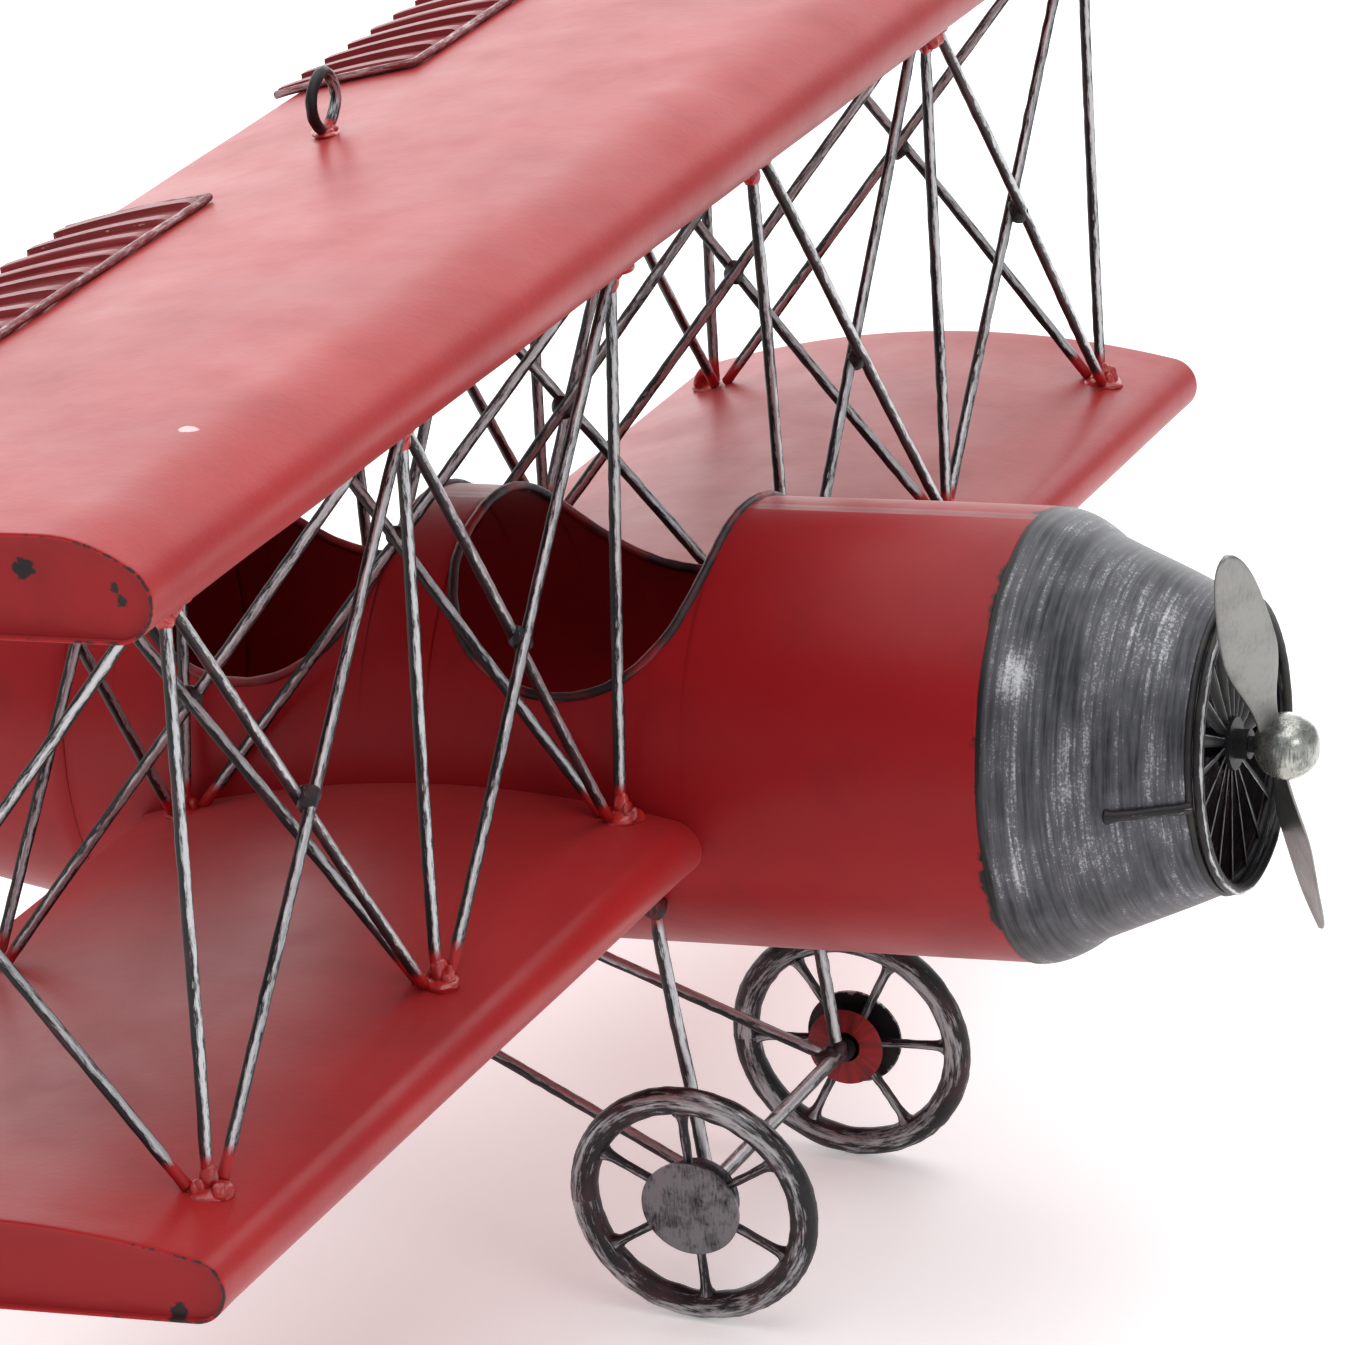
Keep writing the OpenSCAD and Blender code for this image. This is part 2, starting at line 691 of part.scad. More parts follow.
module spokes(side) {
    color(gunmetal) wheel_place(side) for (i = [0 : spoke_count - 1]) {
        rotate([0, 0, (side == right ? i : i + 0.5) * 360 / spoke_count])
            wire([hub_r - bite, 0, 0], [tyre_ring_r - tyre_d / 2 + bite, 0, 0], spoke_d);
    }
}
// Hub tube stepped inside to hold the axle's head, with a disc closing it outside and a collar disc inside
disc_t = 1;
module hub(side) {
    color(gunmetal) wheel_place(side) difference() {
        union() {
            translate([0, 0, -hub_in]) cylinder(h = hub_in + hub_out, r = hub_r);
            translate([0, 0, hub_out]) cylinder(h = disc_t, d = hub_disc_d);
            translate([0, 0, -hub_in]) cylinder(h = disc_t, d = hub_disc_d * 0.8);
        }
        translate([0, 0, -hub_in - 1]) cylinder(h = hub_in + 2, r = wire_d / 2 + hub_clearance);
        translate([0, 0, hub_out - 2 * end_gap - head_t])
            cylinder(h = 2 * end_gap + head_t, r = head_r + 0.3);
    }
}
module right_tyre() {
    tyre(right);
}
module left_tyre() {
    tyre(left);
}
module right_spokes() {
    spokes(right);
}
module left_spokes() {
    spokes(left);
}
module right_hub() {
    hub(right);
}
module left_hub() {
    hub(left);
}

/* Tail */
fin_front_y = hinge_line_y - tailplane_chord - 2;
tailplane_z = 4;
rudder_low = -12;
fin_straight = fin_top * 0.35;
// Quarter of an ellipse about a centre, from one angle to another
function corner(cx, cy, rx, ry, from, to) = [for (i = [0 : steps])
    let (a = from + i * (to - from) / steps) [cx + rx * cos(a), cy + ry * sin(a)]];
module fin() {
    base = tailplane_z + tail_sheet / 2 + touch;
    stance() color(red) difference() {
        along_x(-tail_sheet / 2, tail_sheet / 2)
            polygon(concat([[hinge_line_y, base], [fin_front_y, base]],
                reversed(corner(hinge_line_y, fin_straight, hinge_line_y - fin_front_y,
                                fin_top - fin_straight, 90, 180))));
        tail_solid();
    }
}
module rudder() {
    end = rudder_end_y;
    r = rudder_round;
    stance() color(dark_red) {
        along_x(-tail_sheet / 2, tail_sheet / 2)
            polygon(concat([[hinge_line_y, rudder_low]],
                corner(end - r, rudder_low + r, r, r, -90, 0),
                corner(end - r, rudder_top - r, r, r, 0, 90),
                [[hinge_line_y, rudder_top]]));
        for (i = [0 : 5]) {
            z = rudder_low + r * 0.6 + i * (rudder_top - rudder_low - r * 1.4) / 5;
            along_x(-tail_sheet / 2 - ridge_h, tail_sheet / 2 + ridge_h)
                polygon([[hinge_line_y, z], [end - r / 2, z],
                         [end - r / 2, z + ridge_w], [hinge_line_y, z + ridge_w]]);
        }
    }
}
module flat_sheet(t, z) {
    translate([0, 0, z - t / 2]) linear_extrude(t) children();
}
module tailplane() {
    tip = tailplane_half - tailplane_chord * 0.8;
    stance() color(red) difference() {
        flat_sheet(tail_sheet, tailplane_z)
            polygon(concat(
                corner(-tip, hinge_line_y, tailplane_half - tip, tailplane_chord, 180, 270),
                corner(tip, hinge_line_y, tailplane_half - tip, tailplane_chord, -90, 0)));
        tail_solid();
    }
}
module elevators() {
    r = rudder_chord * 0.6;
    end = rudder_end_y - 3;
    gap = tail_sheet / 2 + ridge_h + 0.6;
    stance() color(dark_red) for (side = [right, left]) {
        side_x(side) {
            flat_sheet(tail_sheet, tailplane_z)
                polygon(concat([[gap, hinge_line_y], [tailplane_half, hinge_line_y]],
                    corner(tailplane_half - r, end - r, r, r, 0, 90), [[gap, end]]));
            for (i = [0 : 6]) {
                ridge_x = gap + 2 + i * (tailplane_half - r - gap) / 6;
                translate([ridge_x, hinge_line_y, tailplane_z - tail_sheet / 2 - ridge_h])
                    cube([ridge_w, rudder_chord - 6, tail_sheet + 2 * ridge_h]);
            }
        }
    }
}
// Skid: two wires down from the tail cone to a short runner that lies on the ground
skid_front_y = hinge_line_y - 74;
skid_rear_y = hinge_line_y - 34;
skid_top_front = stood([0, skid_front_y, -tail_r(skid_front_y) - leg_stop]);
skid_top_rear = stood([0, skid_rear_y, -tail_r(skid_rear_y) - leg_stop]);
runner_y = stood([0, skid_rear_y, 0])[1] - 4;
runner_len = 26;
module tail_skid() {
    ends = [[0, runner_y - runner_len / 2, wire_d / 2], [0, runner_y + runner_len / 2, wire_d / 2]];
    color(gunmetal) {
        wire(ends[0], ends[1], wire_d);
        for (p = ends) {
            translate(p) sphere(d = wire_d, $fn = 32);
        }
        wire([0, runner_y - 3, wire_d / 2], skid_top_front, wire_d);
        wire([0, runner_y + 3, wire_d / 2], skid_top_rear, wire_d);
    }
}
module skid_welds() {
    color(gunmetal) difference() {
        union() {
            translate(skid_top_front) sphere(r = leg_weld_r, $fn = 48);
            translate(skid_top_rear) sphere(r = leg_weld_r, $fn = 48);
        }
        stance() tail_solid();
    }
}

fuselage_shell();
front_cockpit_rim();
rear_cockpit_rim();
tail_cone();
tail_cap();
cowling();
cowling_hoop();
cowling_hook();
grille_hoop();
grille_wires();
shaft_bush();
propeller_shaft();
shaft_collar();
propeller_hub();
upper_blade();
lower_blade();
upper_wing_skin();
upper_wing_caps();
right_aileron();
left_aileron();
aileron_borders();
hanging_ring();
ring_weld();
right_lower_wing();
left_lower_wing();
lower_wing_caps();
right_struts();
left_struts();
right_outer_cross();
right_middle_cross();
right_inner_cross();
left_inner_cross();
left_middle_cross();
left_outer_cross();
right_outer_bracing();
right_inner_bracing();
left_inner_bracing();
left_outer_bracing();
lower_welds();
upper_welds();
right_front_leg();
left_front_leg();
right_rear_leg();
left_rear_leg();
gear_welds();
axle();
axle_collars();
right_tyre();
right_spokes();
right_hub();
left_tyre();
left_spokes();
left_hub();
fin();
rudder();
tailplane();
elevators();
tail_skid();
skid_welds();
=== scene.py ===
import json
import math
from functools import partial

import bmesh
import bpy
import numpy as np
from mathutils import Matrix, Vector


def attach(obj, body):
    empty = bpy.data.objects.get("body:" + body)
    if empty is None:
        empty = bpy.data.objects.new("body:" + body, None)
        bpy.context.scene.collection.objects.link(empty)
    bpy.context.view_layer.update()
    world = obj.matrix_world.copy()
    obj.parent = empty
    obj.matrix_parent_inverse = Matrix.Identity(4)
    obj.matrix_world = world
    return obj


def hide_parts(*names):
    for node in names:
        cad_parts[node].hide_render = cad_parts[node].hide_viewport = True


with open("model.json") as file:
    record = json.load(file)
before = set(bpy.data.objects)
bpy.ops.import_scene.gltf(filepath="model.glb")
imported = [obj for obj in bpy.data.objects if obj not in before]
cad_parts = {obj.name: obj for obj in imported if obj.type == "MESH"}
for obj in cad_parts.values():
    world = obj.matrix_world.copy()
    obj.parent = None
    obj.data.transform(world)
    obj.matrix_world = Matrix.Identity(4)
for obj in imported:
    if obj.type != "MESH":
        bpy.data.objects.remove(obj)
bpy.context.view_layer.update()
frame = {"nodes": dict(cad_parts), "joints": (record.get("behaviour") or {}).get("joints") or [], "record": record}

# Looks of a hand-made metal biplane model. Shapes are worked out in millimetres in the
# aeroplane's own axes: X across the span, Y aft from the cowling joint, Z up from the fuselage axis.
mm = 0.001
nodes = frame["nodes"]


# ---------- the aeroplane's axes, found from the frame

spinJoint = next(j for j in frame["joints"] if j["name"] == "propeller_spin")
sinStance, cosStance = spinJoint["axis"][2], -spinJoint["axis"][1]


def levelled(points):
    # turns the frame's axes nose-down by the stance angle, so the fuselage lies along Y
    x, y, z = np.moveaxis(points, -1, 0)
    return np.stack([x, y * cosStance - z * sinStance, z * cosStance + y * sinStance], -1)


def framePoints(node):
    # a CAD node's points in millimetres, in the frame's own axes
    mesh = nodes[node].data
    points = np.empty(len(mesh.vertices) * 3)
    mesh.vertices.foreach_get("co", points)
    return points.reshape(-1, 3) / mm


def nodePoints(node):
    return levelled(framePoints(node))


tubePoints = nodePoints("fuselage_shell")
jointCentre = np.array([0, tubePoints[:, 1].min(), (tubePoints[:, 2].min() + tubePoints[:, 2].max()) / 2])
bodyRadius = (tubePoints[:, 0].max() - tubePoints[:, 0].min()) / 2
bodyLength = tubePoints[:, 1].max() - jointCentre[1]


def airPoints(node):
    return nodePoints(node) - jointCentre


def airBox(node):
    points = airPoints(node)
    return points.min(0), points.max(0)


def airRound(node):
    # the middle of a round node and its radius across the span
    low, high = airBox(node)
    return (low + high) / 2, (high[0] - low[0]) / 2


def stood(points):
    # aeroplane millimetres to the frame's metres
    x, y, z = np.moveaxis(points + jointCentre, -1, 0)
    return np.stack([x, y * cosStance + z * sinStance, z * cosStance - y * sinStance], -1) * mm


def airJoint(name):
    joint = next(j for j in frame["joints"] if j["name"] == name)
    return levelled(np.array(joint["pos_m"]) / mm) - jointCentre


# ---------- surfaces from arrays

def ripple(points, wavelength, seed):
    # a smooth unevenness between about -1 and 1: the mean of ten sine waves in chosen directions
    rng = np.random.default_rng(seed)
    aim = rng.normal(size=(10, 3))
    aim /= np.linalg.norm(aim, axis=1, keepdims=True)
    wave = aim * (2 * math.pi / wavelength * rng.uniform(0.6, 1.5, (10, 1)))
    return np.sin(points @ wave.T + rng.uniform(0, 6.28, 10)).mean(-1) * 2.0


def part(points, closeU=False, closeV=False, u=None, v=None, **marks):
    # one grid of points, with the lengths along its rows and columns and its per-point marks
    rows, columns = points.shape[:2]
    u = np.arange(rows + 1.0) if u is None else u
    v = np.arange(columns + 1.0) if v is None else v
    return dict(points=points, closeU=closeU, closeV=closeV, u=u, v=v, marks=marks)


def gridFaces(piece, corners):
    rows, columns = piece["points"].shape[:2]
    i = np.arange(rows if piece["closeU"] else rows - 1)
    j = np.arange(columns if piece["closeV"] else columns - 1)
    i, j = [a.ravel() for a in np.meshgrid(i, j, indexing="ij")]
    iNext, jNext = (i + 1) % rows, (j + 1) % columns
    quads = np.stack([i * columns + j, iNext * columns + j, iNext * columns + jNext, i * columns + jNext], -1)
    u, v = piece["u"], piece["v"]
    sheet = np.stack([np.stack([u[i], v[j]], -1), np.stack([u[i + 1], v[j]], -1),
                      np.stack([u[i + 1], v[j + 1]], -1), np.stack([u[i], v[j + 1]], -1)], 1)
    a, b, c, d = [corners[quads[:, k]] for k in range(4)]
    volume = (a * np.cross(b, c)).sum() + (a * np.cross(c, d)).sum()
    if volume < 0:   # the grid was wound inside out
        quads, sheet = quads[:, ::-1], sheet[:, ::-1]
    return quads, sheet


markNames = ("rub", "paint")


def makePiece(name, parts, material, replaces, body="airframe", sharpDeg=45,
              cleanSeam=False):
    # one mesh from the grids, standing in for the named CAD nodes
    corners, faces, sheets, marks, base = [], [], [], {m: [] for m in markNames}, 0
    for piece in parts:
        points = stood(piece["points"]).reshape(-1, 3)
        quads, sheet = gridFaces(piece, points)
        corners.append(points)
        faces.append(quads + base)
        sheets.append(sheet.reshape(-1, 2) * mm)
        for m in markNames:
            value = piece["marks"].get(m, 0.0)
            marks[m].append(np.broadcast_to(value, piece["points"].shape[:2]).ravel())
        base += len(points)
    mesh = bpy.data.meshes.new(name)
    mesh.from_pydata(np.concatenate(corners).tolist(), [], np.concatenate(faces).tolist())
    layer = mesh.uv_layers.new(name="sheet")
    layer.data.foreach_set("uv", np.concatenate(sheets).ravel())
    for m in markNames:
        mesh.attributes.new(m, "FLOAT", "POINT").data.foreach_set("value", np.concatenate(marks[m]))
    work = bmesh.new()
    work.from_mesh(mesh)
    bmesh.ops.remove_doubles(work, verts=work.verts, dist=2e-6)
    bmesh.ops.dissolve_degenerate(work, edges=work.edges, dist=1e-7)
    if cleanSeam:   # two faces on the same corners are the closed lips of a seam
        pairs = {}
        for face in work.faces:
            pairs.setdefault(frozenset(v.index for v in face.verts), []).append(face)
        doubled = [face for same in pairs.values() if len(same) > 1 for face in same]
        bmesh.ops.delete(work, geom=doubled, context="FACES")
    work.to_mesh(mesh)
    work.free()
    mesh.shade_smooth()
    mesh.set_sharp_from_angle(angle=math.radians(sharpDeg))
    piece = bpy.data.objects.new(name, mesh)
    bpy.context.scene.collection.objects.link(piece)
    mesh.materials.append(material)
    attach(piece, body)
    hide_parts(*replaces)


def rolled(points, angle):
    # points turned about the fore-and-aft line through the origin
    c, s = math.cos(angle), math.sin(angle)
    x, y, z = np.moveaxis(points, -1, 0)
    return np.stack([x * c - z * s, y, z * c + x * s], -1)


def wholeTurn(count):
    return np.linspace(0, 2 * math.pi, count, endpoint=False)


def unit(vectors):
    return vectors / np.maximum(np.linalg.norm(vectors, axis=-1, keepdims=True), 1e-12)


def lengths(path, closed=False):
    ends = np.concatenate([path, path[:1]]) if closed else np.concatenate([path, path[-1:]])
    return np.concatenate([[0], np.cumsum(np.linalg.norm(np.diff(ends, axis=0), axis=1))])


def resampled(path, count, closed=False):
    # the same route with its points spread evenly along it
    ends = np.concatenate([path, path[:1]]) if closed else path
    along = np.concatenate([[0], np.cumsum(np.linalg.norm(np.diff(ends, axis=0), axis=1))])
    at = np.linspace(0, along[-1], count, endpoint=not closed)
    return np.stack([np.interp(at, along, ends[:, k]) for k in range(3)], -1)


def tube(path, radius, closed=False, sides=14, normals=None, uneven=0.0, seed=0, flat=1.0, highlightOrRub=None, **marks):
    # a circle carried along a path: each point is the path plus the radius times
    # (cosine of the normal and flat times the sine of the binormal); open ends finish in low domes.
    # with "side" it paints a highlight: it marks the side that the normal points to, as if lit from there; with
    # "edges" it marks the two edges as rubbed
    path = np.asarray(path, float)
    radius = np.broadcast_to(np.asarray(radius, float), len(path)).copy()
    marks = {k: np.broadcast_to(m, len(path)) for k, m in marks.items()}
    if closed:
        tangent = unit(np.roll(path, -1, 0) - np.roll(path, 1, 0))
    else:
        tangent = unit(np.gradient(path, axis=0))
        dome = np.array([0.0, 0.45, 0.8])
        lift = np.array([0.5, 0.42, 0.24])
        path = np.concatenate([path[0] - tangent[0] * (lift * radius[0])[:, None], path,
                               path[-1] + tangent[-1] * (lift[::-1] * radius[-1])[:, None]])
        tangent = np.concatenate([np.repeat(tangent[:1], 3, 0), tangent, np.repeat(tangent[-1:], 3, 0)])
        radius = np.concatenate([dome * radius[0], radius, dome[::-1] * radius[-1]])
        marks = {k: np.concatenate([np.repeat(m[:1], 3), m, np.repeat(m[-1:], 3)]) for k, m in marks.items()}
    if normals is None:
        along = tangent.mean(0)
        normals = np.eye(3)[np.argmin(np.abs(along))]
    normal = unit(normals - tangent * (normals * tangent).sum(-1, keepdims=True))
    binormal = np.cross(tangent, normal)
    angle = wholeTurn(sides)
    c, s = np.cos(angle)[None, :, None], np.sin(angle)[None, :, None]
    ring = c * normal[:, None] + flat * s * binormal[:, None]
    points = path[:, None] + ring * radius[:, None, None]
    if uneven:
        points = points + ring * (radius[:, None] * uneven * ripple(points, 5.0, seed))[..., None]
    around = np.linspace(0, 2 * math.pi * radius.max(), sides + 1)
    marks = {k: np.broadcast_to(m[:, None], points.shape[:2]) for k, m in marks.items()}
    if highlightOrRub:
        # "side": a painted highlight swelling towards the normal; "edges": rubbing on both edges
        share = (0.5 + 0.5 * np.cos(angle)) ** 4 if highlightOrRub == "side" else np.abs(np.cos(angle)) ** 5
        marks["rub"] = np.broadcast_to(share[None], points.shape[:2])
    return part(points, closed, True, lengths(path, closed), around, **marks)


def turned(profile, centre, axis="y", sides=96, closed=True, uneven=0.0, wavelength=30.0, seed=0, **marks):
    # a profile of (place along the axis, radius) pairs turned round a line through the centre
    profile = np.asarray(profile, float)
    angle = wholeTurn(sides)
    along, radius = profile[:, :1], profile[:, 1:]
    flat = np.broadcast_to(along, (len(profile), sides))
    c, s = radius * np.cos(angle), radius * np.sin(angle)
    points = np.stack([c, flat, s] if axis == "y" else [flat, c, s], -1)
    if uneven:
        outward = np.stack([c, 0 * flat, s] if axis == "y" else [0 * flat, c, s], -1)
        points = points + unit(outward) * (uneven * ripple(points, wavelength, seed))[..., None]
    points = points + np.asarray(centre)
    lengthAlong = lengths(np.concatenate([profile, profile[:, :1] * 0], 1), closed)
    around = np.linspace(0, 2 * math.pi * profile[:, 1].max(), sides + 1)
    marks = {k: np.broadcast_to(np.asarray(m, float)[:, None], points.shape[:2]) for k, m in marks.items()}
    return part(points, closed, True, lengthAlong, around, **marks)


def blob(centre, size, seed, uneven=0.22, rings=14, sides=20, **marks):
    # a lump: a ball of three half-sizes whose radius swells and shrinks by a smooth unevenness
    polar = np.linspace(0, math.pi, rings)[:, None]
    angle = wholeTurn(sides)[None, :]
    aim = np.stack([np.sin(polar) * np.cos(angle), np.sin(polar) * np.sin(angle),
                    np.cos(polar) * np.ones_like(angle)], -1)
    radius = 1 + uneven * ripple(aim * 3, 5.0, seed)
    points = np.asarray(centre) + aim * radius[..., None] * np.asarray(size, float)
    return part(points, False, True, **marks)


def islands(node):
    # the separate solids of a CAD node: shared points take the lowest label that reaches them
    mesh = nodes[node].data
    points = airPoints(node)
    keys, label = np.unique(np.round(points, 2), axis=0, return_inverse=True)
    edges = np.empty(len(mesh.edges) * 2, int)
    mesh.edges.foreach_get("vertices", edges)
    a, b = label.ravel()[edges].reshape(-1, 2).T
    mark = np.arange(len(keys))
    while True:
        low = np.minimum(mark[a], mark[b])
        new = mark.copy()
        np.minimum.at(new, a, low)
        np.minimum.at(new, b, low)
        new = new[new]
        if (new == mark).all():
            break
        mark = new
    return [keys[mark == m] for m in np.unique(mark)]


def rods(node):
    # the two ends and the radius of each straight wire in a CAD node
    found = []
    for points in islands(node):
        middle = points.mean(0)
        axis = np.linalg.svd(points - middle)[2][0]
        reach = (points - middle) @ axis
        radius = np.linalg.norm((points - middle) - reach[:, None] * axis, axis=1).max()
        found.append((middle + axis * reach.min(), middle + axis * reach.max(), radius))
    return found


# ---------- materials

def toLinear(colour):
    # sRGB hex to linear colour with full cover
    value = np.array([int(colour[k:k + 2], 16) / 255 for k in (1, 3, 5)])
    value = np.where(value <= 0.04045, value / 12.92, ((value + 0.055) / 1.055) ** 2.4)
    return (*value.tolist(), 1.0)


# each kind of node: its type, the sockets that its values go to, its output and its own settings
nodeKinds = dict(
    coords=("ShaderNodeTexCoord", (), "Object", {}),
    sheet=("ShaderNodeTexCoord", (), "UV", {}),
    mark=("ShaderNodeAttribute", (), "Fac", {}),
    stretch=("ShaderNodeMapping", ("Vector", "Scale"), 0, {}),
    noise=("ShaderNodeTexNoise", ("Vector", "Scale", "Detail", "Roughness"), 0, {}),
    remap=("ShaderNodeMapRange", ("Value", "From Min", "From Max", "To Min", "To Max"), 0, {}),
    mix=("ShaderNodeMix", (0, 6, 7), 2, dict(data_type="RGBA")),
    times=("ShaderNodeMath", (0, 1), 0, dict(operation="MULTIPLY")),
    minus=("ShaderNodeMath", (0, 1), 0, dict(operation="SUBTRACT")),
    timesAdd=("ShaderNodeMath", (0, 1, 2), 0, dict(operation="MULTIPLY_ADD")),
    reach=("ShaderNodeVectorMath", (0, 1), 1, dict(operation="DISTANCE")),
    bump=("ShaderNodeBump", ("Height", "Strength", "Distance"), 0, {}))


def addNode(tree, kind, *values, **settings):
    # one node with its settings, its values set or linked in the table's order; gives its output
    idName, sockets, output, own = nodeKinds[kind]
    node = tree.nodes.new(idName)
    for name, value in {**own, **settings}.items():
        setattr(node, name, value)
    for socket, value in zip(sockets, values):
        if isinstance(value, bpy.types.NodeSocket):
            tree.links.new(value, node.inputs[socket])
        else:
            node.inputs[socket].default_value = value
    return node.outputs[output]


def newMaterial(name):
    material = bpy.data.materials.new(name)
    material.use_nodes = True
    tree = material.node_tree
    return material, partial(addNode, tree), tree.nodes["Principled BSDF"]


def plug(shader, **values):
    # sets or links sockets of the shader, named with underscores for spaces
    for name, value in values.items():
        socket = shader.inputs[name.replace("_", " ")]
        if isinstance(value, bpy.types.NodeSocket):
            socket.id_data.links.new(value, socket)
        else:
            socket.default_value = value


def perMm(size):
    # noise scale that gives features of about that many millimetres
    return 1000.0 / size


# Spray enamel: a satin, a little cloudy red that pales where it is seen at a low angle, with faint orange
# peel; rims are rubbed to grey and black overspray from the cowling runs onto the front of the tube.
# the chips and the painted highlight are spots, each (place in aeroplane millimetres, half-size, colour)
enamelLook = dict(red="#991217", bright="#a6191b", deep="#6c0c11", rubbed="#3a3133", spray="#131214",
                  cloudMm=70, peelMm=1.6, speckMm=2.2, gloss=0.36, shine=0.16, dust=0.2, dustRough=0.42,
                  dustTint="#f2c4c4", index=1.6, sprayMm=13, cloudy=0.6, rubShare=0.62, rubCut=0.98, chips=())


def redEnamel(name, **changes):
    look = {**enamelLook, **changes}
    material, add, shader = newMaterial(name)
    where = add("coords")
    cloud = add("noise", where, perMm(look["cloudMm"]), 3.0, 0.55)
    soot = add("noise", where, perMm(look["cloudMm"] * 0.45), 6.0, 0.65)
    speck = add("noise", where, perMm(look["speckMm"]), 5.0, 0.7)
    brush = add("noise", where, perMm(look["sprayMm"]), 4.0, 0.6)
    base = add("mix", add("remap", cloud, 0.35, 0.65), toLinear(look["red"]), toLinear(look["bright"]))
    base = add("mix", add("remap", soot, 0.52, 0.80, 0.0, look["cloudy"]), base, toLinear(look["deep"]))
    rub = add("mark", attribute_name="rub")
    worn = add("remap", add("timesAdd", rub, look["rubShare"], speck), look["rubCut"], look["rubCut"] + 0.07)
    base = add("mix", worn, base, toLinear(look["rubbed"]))
    front = add("mark", attribute_name="paint")
    sprayed = add("remap", add("timesAdd", brush, 1.5, front), 1.66, 1.78)
    base = add("mix", sprayed, base, toLinear(look["spray"]))
    # spots mixed into the paint: the dark ones are chips, the pale one is a painted highlight
    for place, size, colour in look["chips"]:
        reach = add("reach", where, stood(np.array(place, float)).tolist())
        ragged = add("timesAdd", speck, size * mm * 1.1, reach)
        chip = add("remap", ragged, size * mm * 1.55, size * mm * 1.42)
        base = add("mix", chip, base, toLinear(colour))
    peel = add("noise", where, perMm(look["peelMm"]), 2.0, 0.5)
    grain = add("noise", where, perMm(look["cloudMm"] * 0.25), 2.0, 0.5)
    bump = add("bump", add("timesAdd", peel, 0.25, grain), 0.10, 0.0015)
    rough = add("remap", soot, 0.3, 0.7, look["gloss"] - 0.04, look["gloss"] + 0.07)
    plug(shader, Base_Color=base, Roughness=rough, Normal=bump, IOR=look["index"],
         Specular_IOR_Level=look["shine"], Sheen_Weight=look["dust"], Sheen_Roughness=look["dustRough"],
         Sheen_Tint=toLinear(look["dustTint"]))
    return material


# Black paint on bent wire, dry-brushed with silver in grains and streaks, with more silver where the mark is high:
# along the high side of the struts and the axle that silver is a painted highlight, elsewhere it is rubbing; a
# purple-brown undercoat in patches; red runs over it next to the welds
wireLook = dict(black="#161417", silver="#bfbfc1", undercoat="#3c2226", red="#a5181b", grainMm=0.9,
                streakMm=7, onSheet=True, silverAmount=0.5, rubShare=0.30, patchAmount=0.75)


def blackenedWire(name, **changes):
    look = {**wireLook, **changes}
    material, add, shader = newMaterial(name)
    where = add("coords")
    # stretched along the wire, so the brushing runs with it
    stretched = add("stretch", add("sheet"), (0.16, 1.0, 1.0)) if look["onSheet"] else where
    grain = add("noise", stretched, perMm(look["grainMm"]), 4.0, 0.7)
    streak = add("noise", stretched, perMm(look["streakMm"]), 3.0, 0.6)
    patch = add("noise", where, perMm(look["streakMm"] * 2.0), 3.0, 0.6)
    rub = add("mark", attribute_name="rub")
    # the mark adds to the silver: a painted highlight on a wire's lit side, real rubbing on edges and elsewhere
    level = add("timesAdd", rub, look["rubShare"], add("timesAdd", grain, 0.55, add("times", streak, 0.45)))
    cut = 0.80 - 0.22 * look["silverAmount"]
    silver = add("remap", level, cut, cut + 0.10)
    under = add("remap", patch, 0.50, 0.62, 0.0, look["patchAmount"])
    base = add("mix", under, toLinear(look["black"]), toLinear(look["undercoat"]))
    base = add("mix", silver, base, toLinear(look["silver"]))
    paint = add("mark", attribute_name="paint")
    painted = add("remap", add("timesAdd", grain, 0.7, paint), 0.75, 1.0)
    base = add("mix", painted, base, toLinear(look["red"]))
    bare = add("times", silver, add("minus", 1.0, painted))
    plug(shader, Base_Color=base, Metallic=add("times", bare, 0.75), Specular_IOR_Level=0.35,
         Roughness=add("remap", bare, 0.0, 1.0, 0.46, 0.34), Normal=add("bump", grain, 0.35, 0.0004))
    return material


# Black paint over sheet steel, dry-brushed round and round with silver: soft grey arcs with bright
# scratches, a black band at the joint and a silver smear high on the shoulder
cowlPaintLook = dict(black="#1a1b1f", grey="#6e6e74", silver="#c4c4c8", joint="#121214", arcMm=1.3, broadMm=8,
                     smearMm=24, gritMm=0.7)


def cowlingPaint():
    look = cowlPaintLook
    material, add, shader = newMaterial("dry_brushed_black")
    where = add("coords")
    # the sheet's second coordinate runs round the cone, so the arcs are long in it
    arcs = add("stretch", add("sheet"), (1.0, 0.035, 1.0))
    fine = add("noise", arcs, perMm(look["arcMm"]), 5.0, 0.7)
    broad = add("noise", arcs, perMm(look["broadMm"]), 3.0, 0.6)
    cloud = add("noise", where, perMm(look["smearMm"]), 4.0, 0.6)
    grit = add("noise", where, perMm(look["gritMm"]), 3.0, 0.7)
    level = add("timesAdd", fine, 0.36, add("timesAdd", broad, 0.32, add("times", cloud, 0.32)))
    smear = add("mark", attribute_name="paint")
    level = add("timesAdd", smear, 0.16, level)
    grey = add("remap", level, 0.42, 0.64)
    bright = add("remap", add("timesAdd", level, 0.75, add("times", grit, 0.25)), 0.535, 0.615, 0.0, 0.85)
    base = add("mix", grey, toLinear(look["black"]), toLinear(look["grey"]))
    base = add("mix", bright, base, toLinear(look["silver"]))
    rub = add("mark", attribute_name="rub")
    joint = add("remap", add("timesAdd", cloud, 0.9, rub), 1.05, 1.30)
    base = add("mix", joint, base, toLinear(look["joint"]))
    plug(shader, Base_Color=base, Metallic=add("remap", bright, 0.0, 1.0, 0.30, 0.75),
         Roughness=add("remap", grey, 0.0, 1.0, 0.40, 0.50), Normal=add("bump", level, 0.25, 0.0004),
         Specular_IOR_Level=0.4)
    return material


# Cast and brushed pewter: soft warm grey metal with fine scratches and darker grime
pewterLook = dict(metal="#92918d", grime="#55545a", scratchMm=0.5, cloudMm=11, rough=0.40, grimeAmount=0.35)


